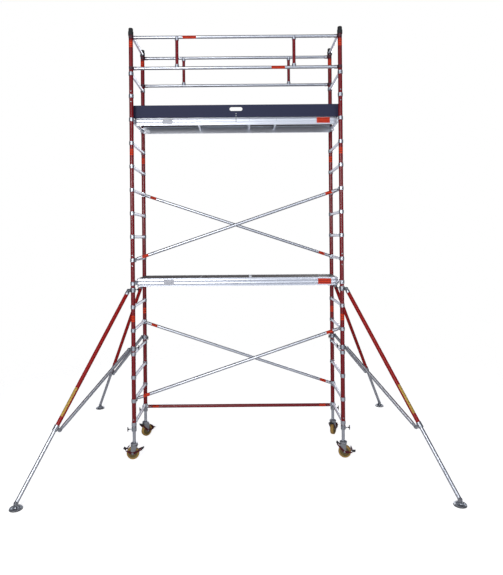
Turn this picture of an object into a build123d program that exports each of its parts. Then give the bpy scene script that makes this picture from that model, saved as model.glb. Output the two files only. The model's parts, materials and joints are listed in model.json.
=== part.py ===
"""Narrow mobile scaffold tower: red glass-fibre uprights, aluminium rungs, two decks.

Millimetres, +Z up.  The origin is on the floor under the middle of the tower.
X runs along the bay, Y across the tower, and -Y is the front.
"""
from build123d import *
import os
from math import atan2, cos, radians, sin

# ---- Driving dimensions -------------------------------------------------------

# Tower
bay_length = 2500.0          # upright centre to upright centre along X
frame_width = 700.0          # upright centre to upright centre along Y
first_rung_height = 416.0    # floor to the centre of the lowest rung
rung_pitch = 280.0
rungs_per_frame = 7
end_frame_stages = 2         # end frames stacked on each side
end_frame_overhang = 26.0    # from the lowest rung of a frame to its lower end
tower_height = 5149.0        # floor to the top of the upright caps

# Clearances
bond_gap = 0.05              # glued or pressed tube in a collar, per side
slip_gap = 0.08              # sliding or turning tube fit, per side
pin_gap = 0.05               # pin in its eye, per side
part_gap = 0.4               # faces of separate moving pieces

# Uprights and rungs
upright_od = 50.8
upright_wall = 4.0
rung_od = 38.1
rung_wall = 2.5
collar_wall = 4.6            # beyond the upright's face
collar_height = 44.0

# Joints between frames
spigot_wall = 3.2
spigot_half_length = 130.0
rivet_shank_d = 8.0
rivet_head_d = 15.0
rivet_head_height = 2.6
rivet_above_joint = 84.0     # above the lower end of each stage
rivet_below_joint = 42.0     # below the upper end of each end frame

# Guard frame on top of each side
guard_rung_heights = (4604.0, 5086.0)
cap_height = 6.0
cap_plug_depth = 22.0

# Adjustable leg and its lock
leg_od = 38.0
leg_wall = 3.2
leg_length = 620.0
lock_height = 52.0
lock_wall = 4.6              # beyond the upright's face
lock_sleeve_length = 115.0
lock_screw_drop = 30.0       # below the end of the upright

# T-handled screw, for the leg locks and the outrigger clamps
screw_d = 10.0
screw_reach = 40.0           # from the boss to the T-bar
t_bar_d = 9.0
t_bar_length = 56.0
boss_d = 22.0
boss_length = 6.0

# Castor
wheel_d = 150.0
tyre_width = 45.0
tyre_depth = 18.0            # rim to tread
hub_width = 50.0
hub_boss_d = 38.0
axle_d = 12.0
castor_trail = 16.0
fork_gap = 1.5               # hub face to fork cheek
cheek_thickness = 5.0
tyre_top_gap = 13.0           # tread to the fork plate
fork_plate_thickness = 6.0
race_d = 82.0
race_height = 10.7
head_d = 88.0
head_disc_height = 10.0
head_cone_height = 16.0
kingpin_d = 18.0
kingpin_nut_d = 30.0
kingpin_nut_height = 4.6
axle_head_d = 20.0
axle_head_height = 7.0

# Brake rocker on the wheel axle
rocker_plate = 3.0
rocker_hub_d = 40.0
rocker_band_gap = 13.0        # tread to the brake band
rocker_band_thickness = 3.0
rocker_band_from = 118.0     # degrees round the axle, brake off
rocker_band_to = 160.0
brake_pad_length = 38.0
release_arm_angle = 24.0
release_arm_gap = 53.0        # tread to the release pad
pad_thickness = 12.0
brake_travel = 22.0          # degrees

# Braces
brace_od = 38.1
brace_wall = 2.0
red_brace_od = 42.0
brace_inset = 65.0           # brace plane inside the upright centres
hook_gap = 0.3               # hook saddle round a rung, per side
hook_wall = 9.5
hook_width = 26.0
hook_leg_past = 0.95         # below the underside of the rung
hook_neck = 52.0             # rung centre to the end of the brace tube
hook_plug_length = 50.0
latch_thickness = 6.0
diagonal_rungs = ((10, 7), (4, 1))   # upper and lower rung of each diagonal

# Guardrail panels, front and rear
guardrail_od = 38.1
guardrail_wall = 2.0
top_rail_height = 5038.0
mid_rail_height = 4669.0
guard_post_x = 700.0
guard_post_od = 38.1
guard_socket_od = 48.0
guard_socket_depth = 22.0
clip_height = 34.0
clip_wall = 8.0
clip_plug_length = 45.0
clip_open_angle = 100.0

# Platforms
platform_rungs = (6, 13)
toe_board_gap = 53.6         # toe board to the face of the upright
platform_half_length = 1220.0
rail_width = 22.0
rail_height = 98.0
rail_top_above_rung = 52.0
rail_wall = 2.5
lip_width = 14.0
lip_thickness = 3.0
deck_thickness = 12.0
deck_setback = 1.0           # deck surface below the top of the side rails
deck_edge_gap = 0.3
cross_beam_width = 25.0
cross_beam_height = 42.0
cross_beam_wall = 2.5
cross_beam_x = 490.0
platform_hook_wall = 9.5
platform_hook_drop = 18.0

# Trapdoor in each platform
hatch_length = 600.0
hatch_side = 38.0            # trapdoor to the inner face of a side rail
hatch_centre_x = -155.0
hatch_gap = 2.5
hatch_rim_wall = 3.0
hatch_ledge = 12.0
hinge_pin_d = 5.0
hinge_barrel_d = 11.0
hinge_knuckle = 60.0
hinge_leaf = 32.0
hinge_leaf_thickness = 2.0
finger_hole = (90.0, 28.0)

# Toe boards
toe_board_height = 150.0
toe_board_thickness = 18.0
toe_board_overlap = 10.0     # below the top of the side rails
toe_slot = (157.0, 50.0)
toe_slot_centre = 99.0       # above the lower edge
strap_width = 16.0
strap_thickness = 3.0
strap_low = 65.0             # below the top of the side rails
strap_high = 52.0            # above the top of the side rails
strap_bolt_d = 8.0
strap_bolt_head_d = 12.0
strap_bolt_heights = (15.0, 40.0)

# Outriggers
outrigger_plan_angle = 50.1          # from the long side of the tower
outrigger_top_height = 2020.0        # height of the upper pivot
outrigger_clamp_height = 1320.0      # height of the lower clamp
outrigger_foot_radius = 1434.0       # upright centre to foot centre, in plan
clamp_pivot_r = 64.0
clamp_wall = 7.5
clamp_height = 54.0
outer_tube_od = 44.5
outer_tube_wall = 3.2
outer_tube_length = 1650.0           # upper pivot to the strut collar
inner_leg_length = 1250.0
strut_od = 38.1
strut_wall = 2.5
pivot_pin_d = 12.0
knuckle_thickness = 20.0
knuckle_od = 42.0
lug_thickness = 7.0
strut_eye_thickness = 12.0
strut_eye_od = 34.0
ear_offset = 58.0
ear_collar_od = 56.0
ear_collar_length = 60.0
strut_slot_width = 17.0
strut_slot_travel = 17.0
ankle_height = 55.0
foot_pad_d = 128.0
foot_pad_height = 24.0
foot_plate_thickness = 5.0
ankle_lug_thickness = 6.0

# ---- Worked-out places --------------------------------------------------------

half_bay = bay_length / 2
half_frame = frame_width / 2
upright_id = upright_od - 2 * upright_wall
collar_od = upright_od + 2 * collar_wall
lock_od = upright_od + 2 * lock_wall
hook_leg_drop = rung_od / 2 + hook_leg_past
platform_width = (frame_width - upright_od
                  - 2 * (toe_board_gap + toe_board_thickness + strap_thickness))
hatch_width = platform_width - 2 * (rail_width + hatch_side)
rim_d = wheel_d - 2 * tyre_depth
stage_height = rungs_per_frame * rung_pitch
rung_count = rungs_per_frame * end_frame_stages
rung_heights = [first_rung_height + rung_pitch * k for k in range(rung_count)]
stage_bases = [first_rung_height - end_frame_overhang + stage_height * i
               for i in range(end_frame_stages + 1)]
upright_top = tower_height - cap_height
wheel_r = wheel_d / 2
fork_plate_z = wheel_d + tyre_top_gap
rocker_band_r = wheel_r + rocker_band_gap
release_arm_r = wheel_r + release_arm_gap
lock_sleeve_wall = (upright_id - 2 * bond_gap - leg_od - 2 * slip_gap) / 2
cheek_inner = hub_width / 2 + fork_gap
cheek_outer = cheek_inner + cheek_thickness
rail_centre_y = (platform_width - rail_width) / 2

corners = {
    "fl": (-half_bay, -half_frame),
    "fr": (half_bay, -half_frame),
    "rl": (-half_bay, half_frame),
    "rr": (half_bay, half_frame),
}
outrigger_bearing = {
    "fl": 180.0 + outrigger_plan_angle,
    "fr": -outrigger_plan_angle,
    "rl": 180.0 - outrigger_plan_angle,
    "rr": outrigger_plan_angle,
}
castor_bearing = {"fl": 0.0, "fr": 165.0, "rl": 228.0, "rr": 242.0}
brake_on = {"fl": False, "fr": True, "rl": True, "rr": True}

# Outrigger triangle, in the upright plane through the foot: x outward, z up
lean = atan2(outrigger_foot_radius - clamp_pivot_r, outrigger_top_height - ankle_height)
tube_dir = Vector(sin(lean), 0, -cos(lean))
tube_inward = Vector(-cos(lean), 0, -sin(lean))
upper_pivot = Vector(clamp_pivot_r, 0, outrigger_top_height)
lower_pivot = Vector(clamp_pivot_r, 0, outrigger_clamp_height)
ankle = Vector(outrigger_foot_radius, 0, ankle_height)
ear_pivot = upper_pivot + tube_dir * outer_tube_length + tube_inward * ear_offset
strut_dir = (ear_pivot - lower_pivot).normalized()
strut_length = (ear_pivot - lower_pivot).length


# ---- Helpers ------------------------------------------------------------------

def along(start, direction):
    """A plane at start whose Z points along direction and whose Y stays level."""
    z = Vector(direction).normalized()
    side = Vector(0, 1, 0) if abs(z.Y) < 0.9 else Vector(1, 0, 0)
    return Plane(origin=start, x_dir=side.cross(z), z_dir=z)


def rod(start, end, diameter):
    start = Vector(start)
    span = Vector(end) - start
    return along(start, span) * Cylinder(diameter / 2, span.length,
                                         align=(Align.CENTER, Align.CENTER, Align.MIN))


def tube(start, end, od, wall):
    return rod(start, end, od) - rod(start, end, od - 2 * wall)


def ring(x, y, z_low, z_high, od, bore):
    return tube((x, y, z_low), (x, y, z_high), od, (od - bore) / 2)


def block(x, y, z):
    """A box from three (low, high) pairs."""
    size = [high - low for low, high in (x, y, z)]
    centre = [(low + high) / 2 for low, high in (x, y, z)]
    return Pos(*centre) * Box(*size)


def pin_with_heads(centre, half_length, diameter, head_d, head_height):
    """A pin along Y with a flat head at each end."""
    c = Vector(centre)
    shank = rod(c - (0, half_length, 0), c + (0, half_length, 0), diameter)
    near = rod(c - (0, half_length + head_height, 0), c - (0, half_length, 0), head_d)
    far = rod(c + (0, half_length, 0), c + (0, half_length + head_height, 0), head_d)
    return shank + near + far


def save(node, solids):
    """Write a node's separate solids to one STEP file."""
    shapes = []
    for item in solids:
        shapes.extend(item.solids())
    group = Compound(children=shapes)
    export_step(group, f"parts/{node}.step")


def t_screw(tip_r, boss_r, z):
    """Screw along -X from tip_r out past a boss, with an upright T-bar."""
    end = boss_r + screw_reach
    shank = rod((-tip_r, 0, z), (-end, 0, z), screw_d)
    bar = rod((-end, 0, z - t_bar_length / 2), (-end, 0, z + t_bar_length / 2), t_bar_d)
    return shank + bar


# ---- End frames and guard frames ----------------------------------------------

def rivet_places():
    """(upright x, upright y, outward sign in y, height) of every blind rivet."""
    for x, y in corners.values():
        side = -1 if y < 0 else 1
        for i, base in enumerate(stage_bases):
            yield x, y, side, base + rivet_above_joint
            if i > 0:
                yield x, y, side, base - rivet_below_joint


def rivet_holes():
    """Drills through the outer wall of the upright and of whatever sits inside it."""
    return [rod((x, y + side * upright_id / 4, z), (x, y + side * upright_od, z),
                rivet_shank_d + 2 * bond_gap)
            for x, y, side, z in rivet_places()]


def frame_uprights():
    """Three lengths of glass-fibre tube at each corner, butted end to end."""
    ends = stage_bases + [upright_top]
    drills = rivet_holes()
    solids = []
    for x, y in corners.values():
        near = [d for d in drills if abs(d.center().X - x) < 1 and d.center().Y * y > 0]
        for low, high in zip(ends, ends[1:]):
            length = tube((x, y, low), (x, y, high), upright_od, upright_wall)
            for drill in near:
                if low < drill.center().Z < high:
                    length = length - drill
            solids.append(length)
    return solids


def rung(x, height):
    """A rung welded to the two collars that are bonded round the uprights."""
    low, high = height - collar_height / 2, height + collar_height / 2
    shape = rod((x, -half_frame, height), (x, half_frame, height), rung_od)
    for y in (-half_frame, half_frame):
        shape += rod((x, y, low), (x, y, high), collar_od)
    shape -= rod((x, -half_frame, height), (x, half_frame, height), rung_od - 2 * rung_wall)
    for y in (-half_frame, half_frame):
        shape -= rod((x, y, low - 1), (x, y, high + 1), upright_od + 2 * bond_gap)
    return shape


def frame_rungs():
    """Every rung with its collars, and the plain collars at the foot of the guard frames."""
    solids = [rung(x, z) for x in (-half_bay, half_bay)
              for z in rung_heights + list(guard_rung_heights)]
    joint = stage_bases[-1] + end_frame_overhang
    for x, y in corners.values():
        solids.append(ring(x, y, joint - collar_height / 2, joint + collar_height / 2,
                           collar_od, upright_od + 2 * bond_gap))
    return solids


def joint_spigots():
    """Sleeves inside the uprights that join one frame to the next."""
    solids = []
    drills = rivet_holes()
    for x, y in corners.values():
        for base in stage_bases[1:]:
            sleeve = tube((x, y, base - spigot_half_length), (x, y, base + spigot_half_length),
                          upright_id - 2 * bond_gap, spigot_wall)
            for drill in drills:
                c = drill.center()
                if abs(c.X - x) < 1 and c.Y * y > 0 and abs(c.Z - base) < spigot_half_length:
                    sleeve = sleeve - drill
            solids.append(sleeve)
    return solids


def frame_rivets():
    """Blind rivets with a domed head on the outer face of each upright."""
    solids = []
    inner = upright_id / 2 - lock_sleeve_wall
    for x, y, side, z in rivet_places():
        outer = upright_od / 2
        shank = rod((x, y + side * inner, z), (x, y + side * (outer + 1), z), rivet_shank_d)
        head = rod((x, y + side * (outer - 2), z),
                   (x, y + side * (outer + rivet_head_height), z), rivet_head_d)
        rim = head.edges().group_by(Axis.Y)[-1 if side > 0 else 0]
        head = fillet(rim, rivet_head_height * 0.8)
        head -= rod((x, y, z - rivet_head_d), (x, y, z + rivet_head_d),
                    upright_od + 2 * bond_gap)
        solids.append(shank + head)
    return solids


def upright_end_caps():
    """A plug with a domed head in the top of each upright."""
    solids = []
    for x, y in corners.values():
        head = rod((x, y, upright_top), (x, y, tower_height), upright_od)
        head = fillet(head.edges().group_by(Axis.Z)[-1], cap_height * 0.75)
        plug = rod((x, y, upright_top - cap_plug_depth), (x, y, upright_top),
                   upright_id - 2 * bond_gap)
        solids.append(head + plug)
    return solids


# ---- Adjustable legs and castors ----------------------------------------------

def leg_lock_collars():
    """Collar under each upright, sleeved inside it, with a T-screw against the leg."""
    solids = []
    top = stage_bases[0]
    low = top - lock_height
    screw_z = top - lock_screw_drop
    bore = leg_od + 2 * slip_gap
    for name, (x, y) in corners.items():
        body = ring(0, 0, low, top, lock_od, bore)
        body += ring(0, 0, top - 1, top + lock_sleeve_length,
                     upright_id - 2 * bond_gap, bore)
        boss_r = lock_od / 2 + boss_length
        body += rod((-lock_od / 2 + 4, 0, screw_z), (-boss_r, 0, screw_z), boss_d)
        body -= rod((-leg_od / 2 + 4, 0, screw_z), (-boss_r - 1, 0, screw_z),
                    screw_d + 2 * bond_gap)
        body -= rod((0, 0, low - 1), (0, 0, top), bore)
        screw = t_screw(leg_od / 2 + part_gap, boss_r, screw_z)
        turn = Pos(x, y, 0) * Rot(0, 0, 0 if x < 0 else 180)
        drills = [d for d in rivet_holes()
                  if abs(d.center().X - x) < 1 and d.center().Y * y > 0
                  and d.center().Z < top + lock_sleeve_length]
        placed = turn * body
        for drill in drills:
            placed = placed - drill
        solids += [placed, turn * screw]
    return solids


def castor_place(name):
    x, y = corners[name]
    return Pos(x, y, 0) * Rot(0, 0, castor_bearing[name])


def castor_leg():
    """Leg tube with the castor head and kingpin at its foot."""
    disc_low = fork_plate_z + fork_plate_thickness + race_height + part_gap - 0.1
    disc_high = disc_low + head_disc_height
    top = disc_high + head_cone_height
    shape = rod((0, 0, disc_low), (0, 0, disc_high), head_d)
    shape += Pos(0, 0, disc_high) * Cone(head_d / 2, leg_od / 2 + 4, head_cone_height,
                                         align=(Align.CENTER, Align.CENTER, Align.MIN))
    shape += tube((0, 0, top - 1), (0, 0, disc_high + leg_length), leg_od, leg_wall)
    nut_top = fork_plate_z - part_gap
    shape += rod((0, 0, nut_top - kingpin_nut_height), (0, 0, disc_low), kingpin_d)
    shape += rod((0, 0, nut_top - kingpin_nut_height), (0, 0, nut_top), kingpin_nut_d)
    return [shape]


def castor_fork():
    """Swivelling fork: top plate, race and two cheeks, with the wheel axle through them."""
    plate_top = fork_plate_z + fork_plate_thickness
    plate = block((-38, 42), (-cheek_outer, cheek_outer), (fork_plate_z, plate_top))
    plate = fillet(plate.edges().filter_by(Axis.Z), 8)
    shape = plate + rod((0, 0, plate_top - 1), (0, 0, plate_top + race_height), race_d)
    outline = make_hull([
        *(Pos(-castor_trail, wheel_r) * Circle(24)).edges(),
        *(Pos(46, wheel_r + 26) * Circle(12)).edges(),
        *(Pos(2, fork_plate_z - 1) * Rectangle(76, 4)).edges(),
    ])
    for low in (-cheek_outer, cheek_inner):
        shape += Plane.XZ.offset(-low) * extrude(outline, -cheek_thickness)
    shape -= rod((0, 0, fork_plate_z - 3), (0, 0, plate_top + race_height + 1),
                 kingpin_d + 2 * pin_gap)
    axle_line = (-castor_trail, wheel_r)
    for low in (-cheek_outer, cheek_inner):
        shape -= rod((axle_line[0], low - 1, axle_line[1]),
                     (axle_line[0], low + cheek_thickness + 1, axle_line[1]),
                     axle_d + 2 * pin_gap)
    axle = pin_with_heads((axle_line[0], 0, axle_line[1]),
                          cheek_outer + rocker_plate + 2 * part_gap,
                          axle_d, axle_head_d, axle_head_height)
    return [shape, axle]


def castor_wheel():
    """Moulded hub with a raised boss and rim, and a polyurethane tyre on it."""
    r_bore = axle_d / 2 + pin_gap
    r_boss = hub_boss_d / 2
    r_rim = rim_d / 2
    half = hub_width / 2
    side = [(r_bore, 0), (r_bore, half), (r_boss - 3, half), (r_boss, half - 3),
            (r_boss, 8), (r_rim - 9, 6), (r_rim - 6, half - 5), (r_rim, half - 5), (r_rim, 0)]
    rim = Polyline([(r, y) for r, y in side] + [(r, -y) for r, y in side[-2:0:-1]], close=True)
    hub = revolve(Plane.XZ * make_face(rim), Axis.Z)
    tread = Pos((rim_d + wheel_d) / 4, 0) * Rectangle((wheel_d - rim_d) / 2, tyre_width)
    tread = fillet(tread.vertices().group_by(Axis.X)[-1], 7)
    tyre = revolve(Plane.XZ * tread, Axis.Z)
    place = Pos(-castor_trail, 0, wheel_r) * Rot(90, 0, 0)
    return [place * hub, place * tyre]


def brake_rocker(turned):
    """Two plates on the axle joined by the brake band and the release bracket."""
    y_in = cheek_outer + part_gap
    y_out = y_in + rocker_plate
    mid_band = (rocker_band_from + rocker_band_to) / 2
    band_r = rocker_band_r + rocker_band_thickness / 2
    shapes = []
    for low in (-y_out, y_in):
        web = make_hull([
            *Circle(rocker_hub_d / 2).edges(),
            *(Rot(0, 0, rocker_band_to - 4) * Pos(band_r - 6, 0) * Circle(7)).edges(),
        ])
        arm = make_hull([
            *Circle(rocker_hub_d / 2 - 4).edges(),
            *(Rot(0, 0, release_arm_angle) * Pos(release_arm_r - 8, 0) * Circle(8)).edges(),
        ])
        plate = extrude(web + arm - Circle(axle_d / 2 + slip_gap), -rocker_plate)
        shapes.append(Plane.XZ.offset(-low) * plate)
    sector = Circle(rocker_band_r + rocker_band_thickness) - Circle(rocker_band_r)
    wedge = make_face(Polyline([
        (0, 0),
        *[(200 * cos(radians(a)), 200 * sin(radians(a)))
          for a in (rocker_band_from, mid_band, rocker_band_to)],
    ], close=True))
    band = Plane.XZ.offset(y_out) * extrude(sector & wedge, -2 * y_out)
    pad = Pos(-(rocker_band_r + brake_pad_length / 2 + 1), 0, 0) \
        * Box(brake_pad_length, 2 * y_out - 8, 5)
    pad = Rot(0, 180 - rocker_band_to + 8, 0) * pad
    bar = Pos(release_arm_r - 6, 0, 0) * Box(9, 2 * y_out, 9)
    rest = Pos(release_arm_r, 0, 4) * Box(pad_thickness + 14, 2 * y_out - 10, pad_thickness)
    rest = fillet(rest.edges().filter_by(Axis.Y), 3)
    release = Rot(0, -release_arm_angle, 0) * (bar + rest)
    rocker = shapes[0] + shapes[1] + band + pad + release
    turn = -brake_travel if turned else 0.0
    return [Pos(-castor_trail, 0, wheel_r) * Rot(0, turn, 0) * rocker]


# ---- Braces -------------------------------------------------------------------

def brace_hook(x, y, z, toward):
    """Hook over a rung with a spring latch under it, and a plug for the brace tube."""
    centre = Vector(x, y, z)
    direction = (Vector(toward) - centre).normalized()
    saddle_r = rung_od / 2 + hook_gap
    outer_r = saddle_r + hook_wall
    half = hook_width / 2
    claw = rod(centre - (0, half, 0), centre + (0, half, 0), 2 * outer_r)
    claw += Pos(x, y, z - hook_leg_drop / 2) * Box(2 * outer_r, hook_width, hook_leg_drop)
    claw -= Pos(x, y, z - hook_leg_drop - outer_r / 2) * Box(3 * outer_r, 2 * hook_width, outer_r)
    claw += rod(centre + direction * saddle_r, centre + direction * hook_neck, hook_width)
    claw += rod(centre + direction * (hook_neck - 8), centre + direction * hook_neck, brace_od)
    claw += rod(centre + direction * (hook_neck - 1),
                centre + direction * (hook_neck + hook_plug_length),
                brace_od - 2 * brace_wall - 2 * bond_gap)
    claw -= rod(centre - (0, hook_width, 0), centre + (0, hook_width, 0), 2 * saddle_r)
    claw -= Pos(x, y, z - hook_leg_drop) * Box(2 * saddle_r, 2 * hook_width, 2 * hook_leg_drop)
    latch_top = z - hook_leg_drop - part_gap
    latch = block((x - outer_r, x + outer_r), (y - half + 3, y + half - 3),
                  (latch_top - latch_thickness, latch_top))
    latch = fillet(latch.edges().filter_by(Axis.Y), latch_thickness * 0.4)
    latch -= rod(centre + direction * part_gap, centre + direction * hook_neck,
                 hook_width + 2 * part_gap)
    return [claw, latch]


def brace_lines():
    """(start, end) rung points: four diagonals, then the level brace at the rear."""
    upper, lower = diagonal_rungs
    lines = []
    for y, high_side in ((-half_frame + brace_inset, 1), (half_frame - brace_inset, -1)):
        for high, low in (upper, lower):
            lines.append(((high_side * half_bay, y, rung_heights[high]),
                          (-high_side * half_bay, y, rung_heights[low])))
    y = half_frame - brace_inset
    level = ((-half_bay, y, rung_heights[0]), (half_bay, y, rung_heights[0]))
    return lines, level


def brace_tube(start, end, od, wall):
    a, b = Vector(start), Vector(end)
    way = (b - a).normalized()
    return tube(a + way * hook_neck, b - way * hook_neck, od, wall)


def diagonal_braces():
    lines, _ = brace_lines()
    return [brace_tube(a, b, brace_od, brace_wall) for a, b in lines]


def horizontal_brace():
    _, (a, b) = brace_lines()
    plug_od = brace_od - 2 * brace_wall
    return [brace_tube(a, b, red_brace_od, (red_brace_od - plug_od) / 2)]


def brace_hooks():
    lines, level = brace_lines()
    solids = []
    for a, b in lines + [level]:
        solids += brace_hook(*a, b) + brace_hook(*b, a)
    return solids


# ---- Guardrails ---------------------------------------------------------------

def guardrail_lines():
    for y in (-half_frame, half_frame):
        for z in (top_rail_height, mid_rail_height):
            yield y, z


def guardrail_rails():
    """Top and mid rails, each welded to the sockets that hold the posts."""
    reach = half_bay - upright_od / 2 - bond_gap - clip_wall - 6
    socket_bore = guard_post_od + 2 * bond_gap
    solids = []
    for y, z in guardrail_lines():
        down = -1 if z == top_rail_height else 1
        rail = rod((-reach, y, z), (reach, y, z), guardrail_od)
        seat = z + down * guardrail_od / 2
        for x in (-guard_post_x, guard_post_x):
            rail += rod((x, y, z), (x, y, seat + down * guard_socket_depth), guard_socket_od)
        rail -= rod((-reach, y, z), (reach, y, z), guardrail_od - 2 * guardrail_wall)
        for x in (-guard_post_x, guard_post_x):
            rail -= rod((x, y, seat), (x, y, seat + down * (guard_socket_depth + 1)), socket_bore)
        solids.append(rail)
    return solids


def guardrail_posts():
    gap = part_gap / 2
    low = mid_rail_height + guardrail_od / 2 + gap
    high = top_rail_height - guardrail_od / 2 - gap
    return [tube((x, y, low), (x, y, high), guard_post_od, guardrail_wall + 1)
            for y in (-half_frame, half_frame) for x in (-guard_post_x, guard_post_x)]


def guardrail_clips():
    """Claw clips that snap round the uprights, plugged into the rail ends."""
    bore = upright_od + 2 * bond_gap
    outer = bore + 2 * clip_wall
    reach = bay_length
    half_open = radians(clip_open_angle / 2)
    solids = []
    for y, z in guardrail_lines():
        for side in (-1, 1):
            x = side * half_bay
            low, high = z - clip_height / 2, z + clip_height / 2
            claw = rod((x, y, low), (x, y, high), outer)
            start = outer / 2 - 2
            claw += rod((x - side * start, y, z), (x - side * (start + 8), y, z), clip_height)
            plug_end = outer / 2 + 6 + clip_plug_length
            claw += rod((x - side * start, y, z), (x - side * plug_end, y, z),
                        guardrail_od - 2 * guardrail_wall - 2 * bond_gap)
            claw -= rod((x, y, low - 1), (x, y, high + 1), bore)
            mouth = make_face(Polyline([
                (0, 0),
                (side * reach * cos(half_open), reach * sin(half_open)),
                (side * reach * cos(half_open), -reach * sin(half_open)),
            ], close=True))
            claw -= Pos(x, y, low - 1) * extrude(mouth, clip_height + 2)
            solids.append(claw)
    return solids


# ---- Platforms ----------------------------------------------------------------

def rail_top(level):
    return rung_heights[level] + rail_top_above_rung


def deck_top(level):
    return rail_top(level) - deck_setback


def box_beam(x, y, z, wall, axis):
    """Hollow rectangular beam, open at both ends along the given axis."""
    outer = block(x, y, z)
    inner = [(low + wall, high - wall) for low, high in (x, y, z)]
    inner["XYZ".index(axis)] = ((x, y, z)["XYZ".index(axis)][0] - 1,
                                (x, y, z)["XYZ".index(axis)][1] + 1)
    return outer - block(*inner)


def hatch_edges():
    """Low and high corners of the trapdoor panel, in plan."""
    return ((hatch_centre_x - hatch_length / 2, hatch_centre_x + hatch_length / 2),
            (-hatch_width / 2, hatch_width / 2))


def rim_edges(grow=0.0):
    """Outside of the trapdoor rim, in plan."""
    out = hatch_gap + hatch_rim_wall + grow
    (x0, x1), (y0, y1) = hatch_edges()
    return (x0 - out, x1 + out), (y0 - out, y1 + out)


def cross_beam_places():
    """Middle x of every beam across a platform."""
    (x0, x1), _ = rim_edges(part_gap)
    half = cross_beam_width / 2
    end = platform_half_length - half
    return (-end, x0 - half, x1 + half, cross_beam_x, end)


def platform_frames():
    """Two side rails with a lip for the deck, and the beams between them."""
    solids = []
    for level in platform_rungs:
        top = rail_top(level)
        lip_top = deck_top(level) - deck_thickness
        for side in (-1, 1):
            outer_y = side * platform_width / 2
            inner_y = outer_y - side * rail_width
            low_y, high_y = sorted((inner_y, outer_y))
            rail = box_beam((-platform_half_length, platform_half_length), (low_y, high_y),
                            (top - rail_height, top), rail_wall, "X")
            lip_y = sorted((inner_y, inner_y - side * lip_width))
            rail += block((-platform_half_length, platform_half_length), lip_y,
                          (lip_top - lip_thickness, lip_top))
            solids.append(rail)
        beam_top = lip_top - lip_thickness
        inside = platform_width / 2 - rail_width
        for x in cross_beam_places():
            solids.append(box_beam((x - cross_beam_width / 2, x + cross_beam_width / 2),
                                   (-inside, inside),
                                   (beam_top - cross_beam_height, beam_top),
                                   cross_beam_wall, "Y"))
    return solids


def platform_decks():
    """Plywood sheets each side of the trapdoor, and a strip along each of its edges."""
    solids = []
    inside = platform_width / 2 - rail_width - deck_edge_gap
    (x0, x1), (y0, y1) = rim_edges(deck_edge_gap)
    for level in platform_rungs:
        top = deck_top(level)
        z = (top - deck_thickness, top)
        solids.append(block((-platform_half_length, x0), (-inside, inside), z))
        solids.append(block((x1, platform_half_length), (-inside, inside), z))
        solids.append(block((x0, x1), (-inside, y0), z))
        solids.append(block((x0, x1), (y1, inside), z))
    return solids


def hinge_spans():
    """Low and high y of the rim's two knuckles and, between them, the hatch's knuckle."""
    gap = part_gap
    half = hinge_knuckle / 2
    for centre in (-hatch_width / 4, hatch_width / 4):
        yield ((centre - 3 * half, centre - half - gap), (centre + half + gap, centre + 3 * half),
               (centre - half, centre + half))


def hinge_line(level):
    """x and z of the trapdoor's hinge pin."""
    (_, x1), _ = hatch_edges()
    return x1 + hatch_gap / 2, deck_top(level) + hinge_barrel_d / 2 + 0.2


def hatch_frames():
    """Angle bars round each trapdoor opening, with hinge knuckles, leaves and pins."""
    solids = []
    (ox0, ox1), (oy0, oy1) = rim_edges()
    wall = hatch_rim_wall
    for level in platform_rungs:
        top = deck_top(level)
        ledge_top = top - deck_thickness - part_gap / 2
        ledge = (ledge_top - wall, ledge_top)
        ix0, ix1, iy0, iy1 = ox0 + wall, ox1 - wall, oy0 + wall, oy1 - wall
        upright = (ledge[0], top)
        bars = [
            block((ox0, ix0), (oy0, oy1), upright)
            + block((ox0, ix0 + hatch_ledge), (iy0, iy1), ledge),
            block((ix1, ox1), (oy0, oy1), upright)
            + block((ix1 - hatch_ledge, ox1), (iy0, iy1), ledge),
            block((ix0, ix1), (oy0, iy0), upright)
            + block((ix0 + hatch_ledge, ix1 - hatch_ledge), (oy0, iy0 + hatch_ledge), ledge),
            block((ix0, ix1), (iy1, oy1), upright)
            + block((ix0 + hatch_ledge, ix1 - hatch_ledge), (iy1 - hatch_ledge, oy1), ledge),
        ]
        solids += bars
        x, z = hinge_line(level)
        for low_span, high_span, _ in hinge_spans():
            for low, high in (low_span, high_span):
                knuckle = rod((x, low, z), (x, high, z), hinge_barrel_d)
                leaf = block((x, x + hinge_leaf), (low, high),
                             (top + 0.05, top + 0.05 + hinge_leaf_thickness))
                knuckle += leaf
                knuckle -= rod((x, low - 1, z), (x, high + 1, z), hinge_pin_d + 2 * pin_gap)
                solids.append(knuckle)
            solids.append(rod((x, low_span[0], z), (x, high_span[1], z), hinge_pin_d))
    return solids


def hatch(level):
    """Trapdoor panel with a finger hole and its hinge leaves."""
    top = deck_top(level)
    (x0, x1), y = hatch_edges()
    panel = block((x0, x1), y, (top - deck_thickness, top))
    hole = Pos(x0 + 70, 0, top) * extrude(Rot(0, 0, 90) * SlotOverall(*finger_hole),
                                         deck_thickness * 2, both=True)
    panel -= hole
    solids = [panel]
    hx, hz = hinge_line(level)
    for _, _, (low, high) in hinge_spans():
        knuckle = rod((hx, low, hz), (hx, high, hz), hinge_barrel_d)
        knuckle += block((hx - hinge_leaf, hx), (low, high),
                         (top + 0.05, top + 0.05 + hinge_leaf_thickness))
        knuckle -= rod((hx, low - 1, hz), (hx, high + 1, hz), hinge_pin_d + 2 * pin_gap)
        solids.append(knuckle)
    return solids


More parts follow.
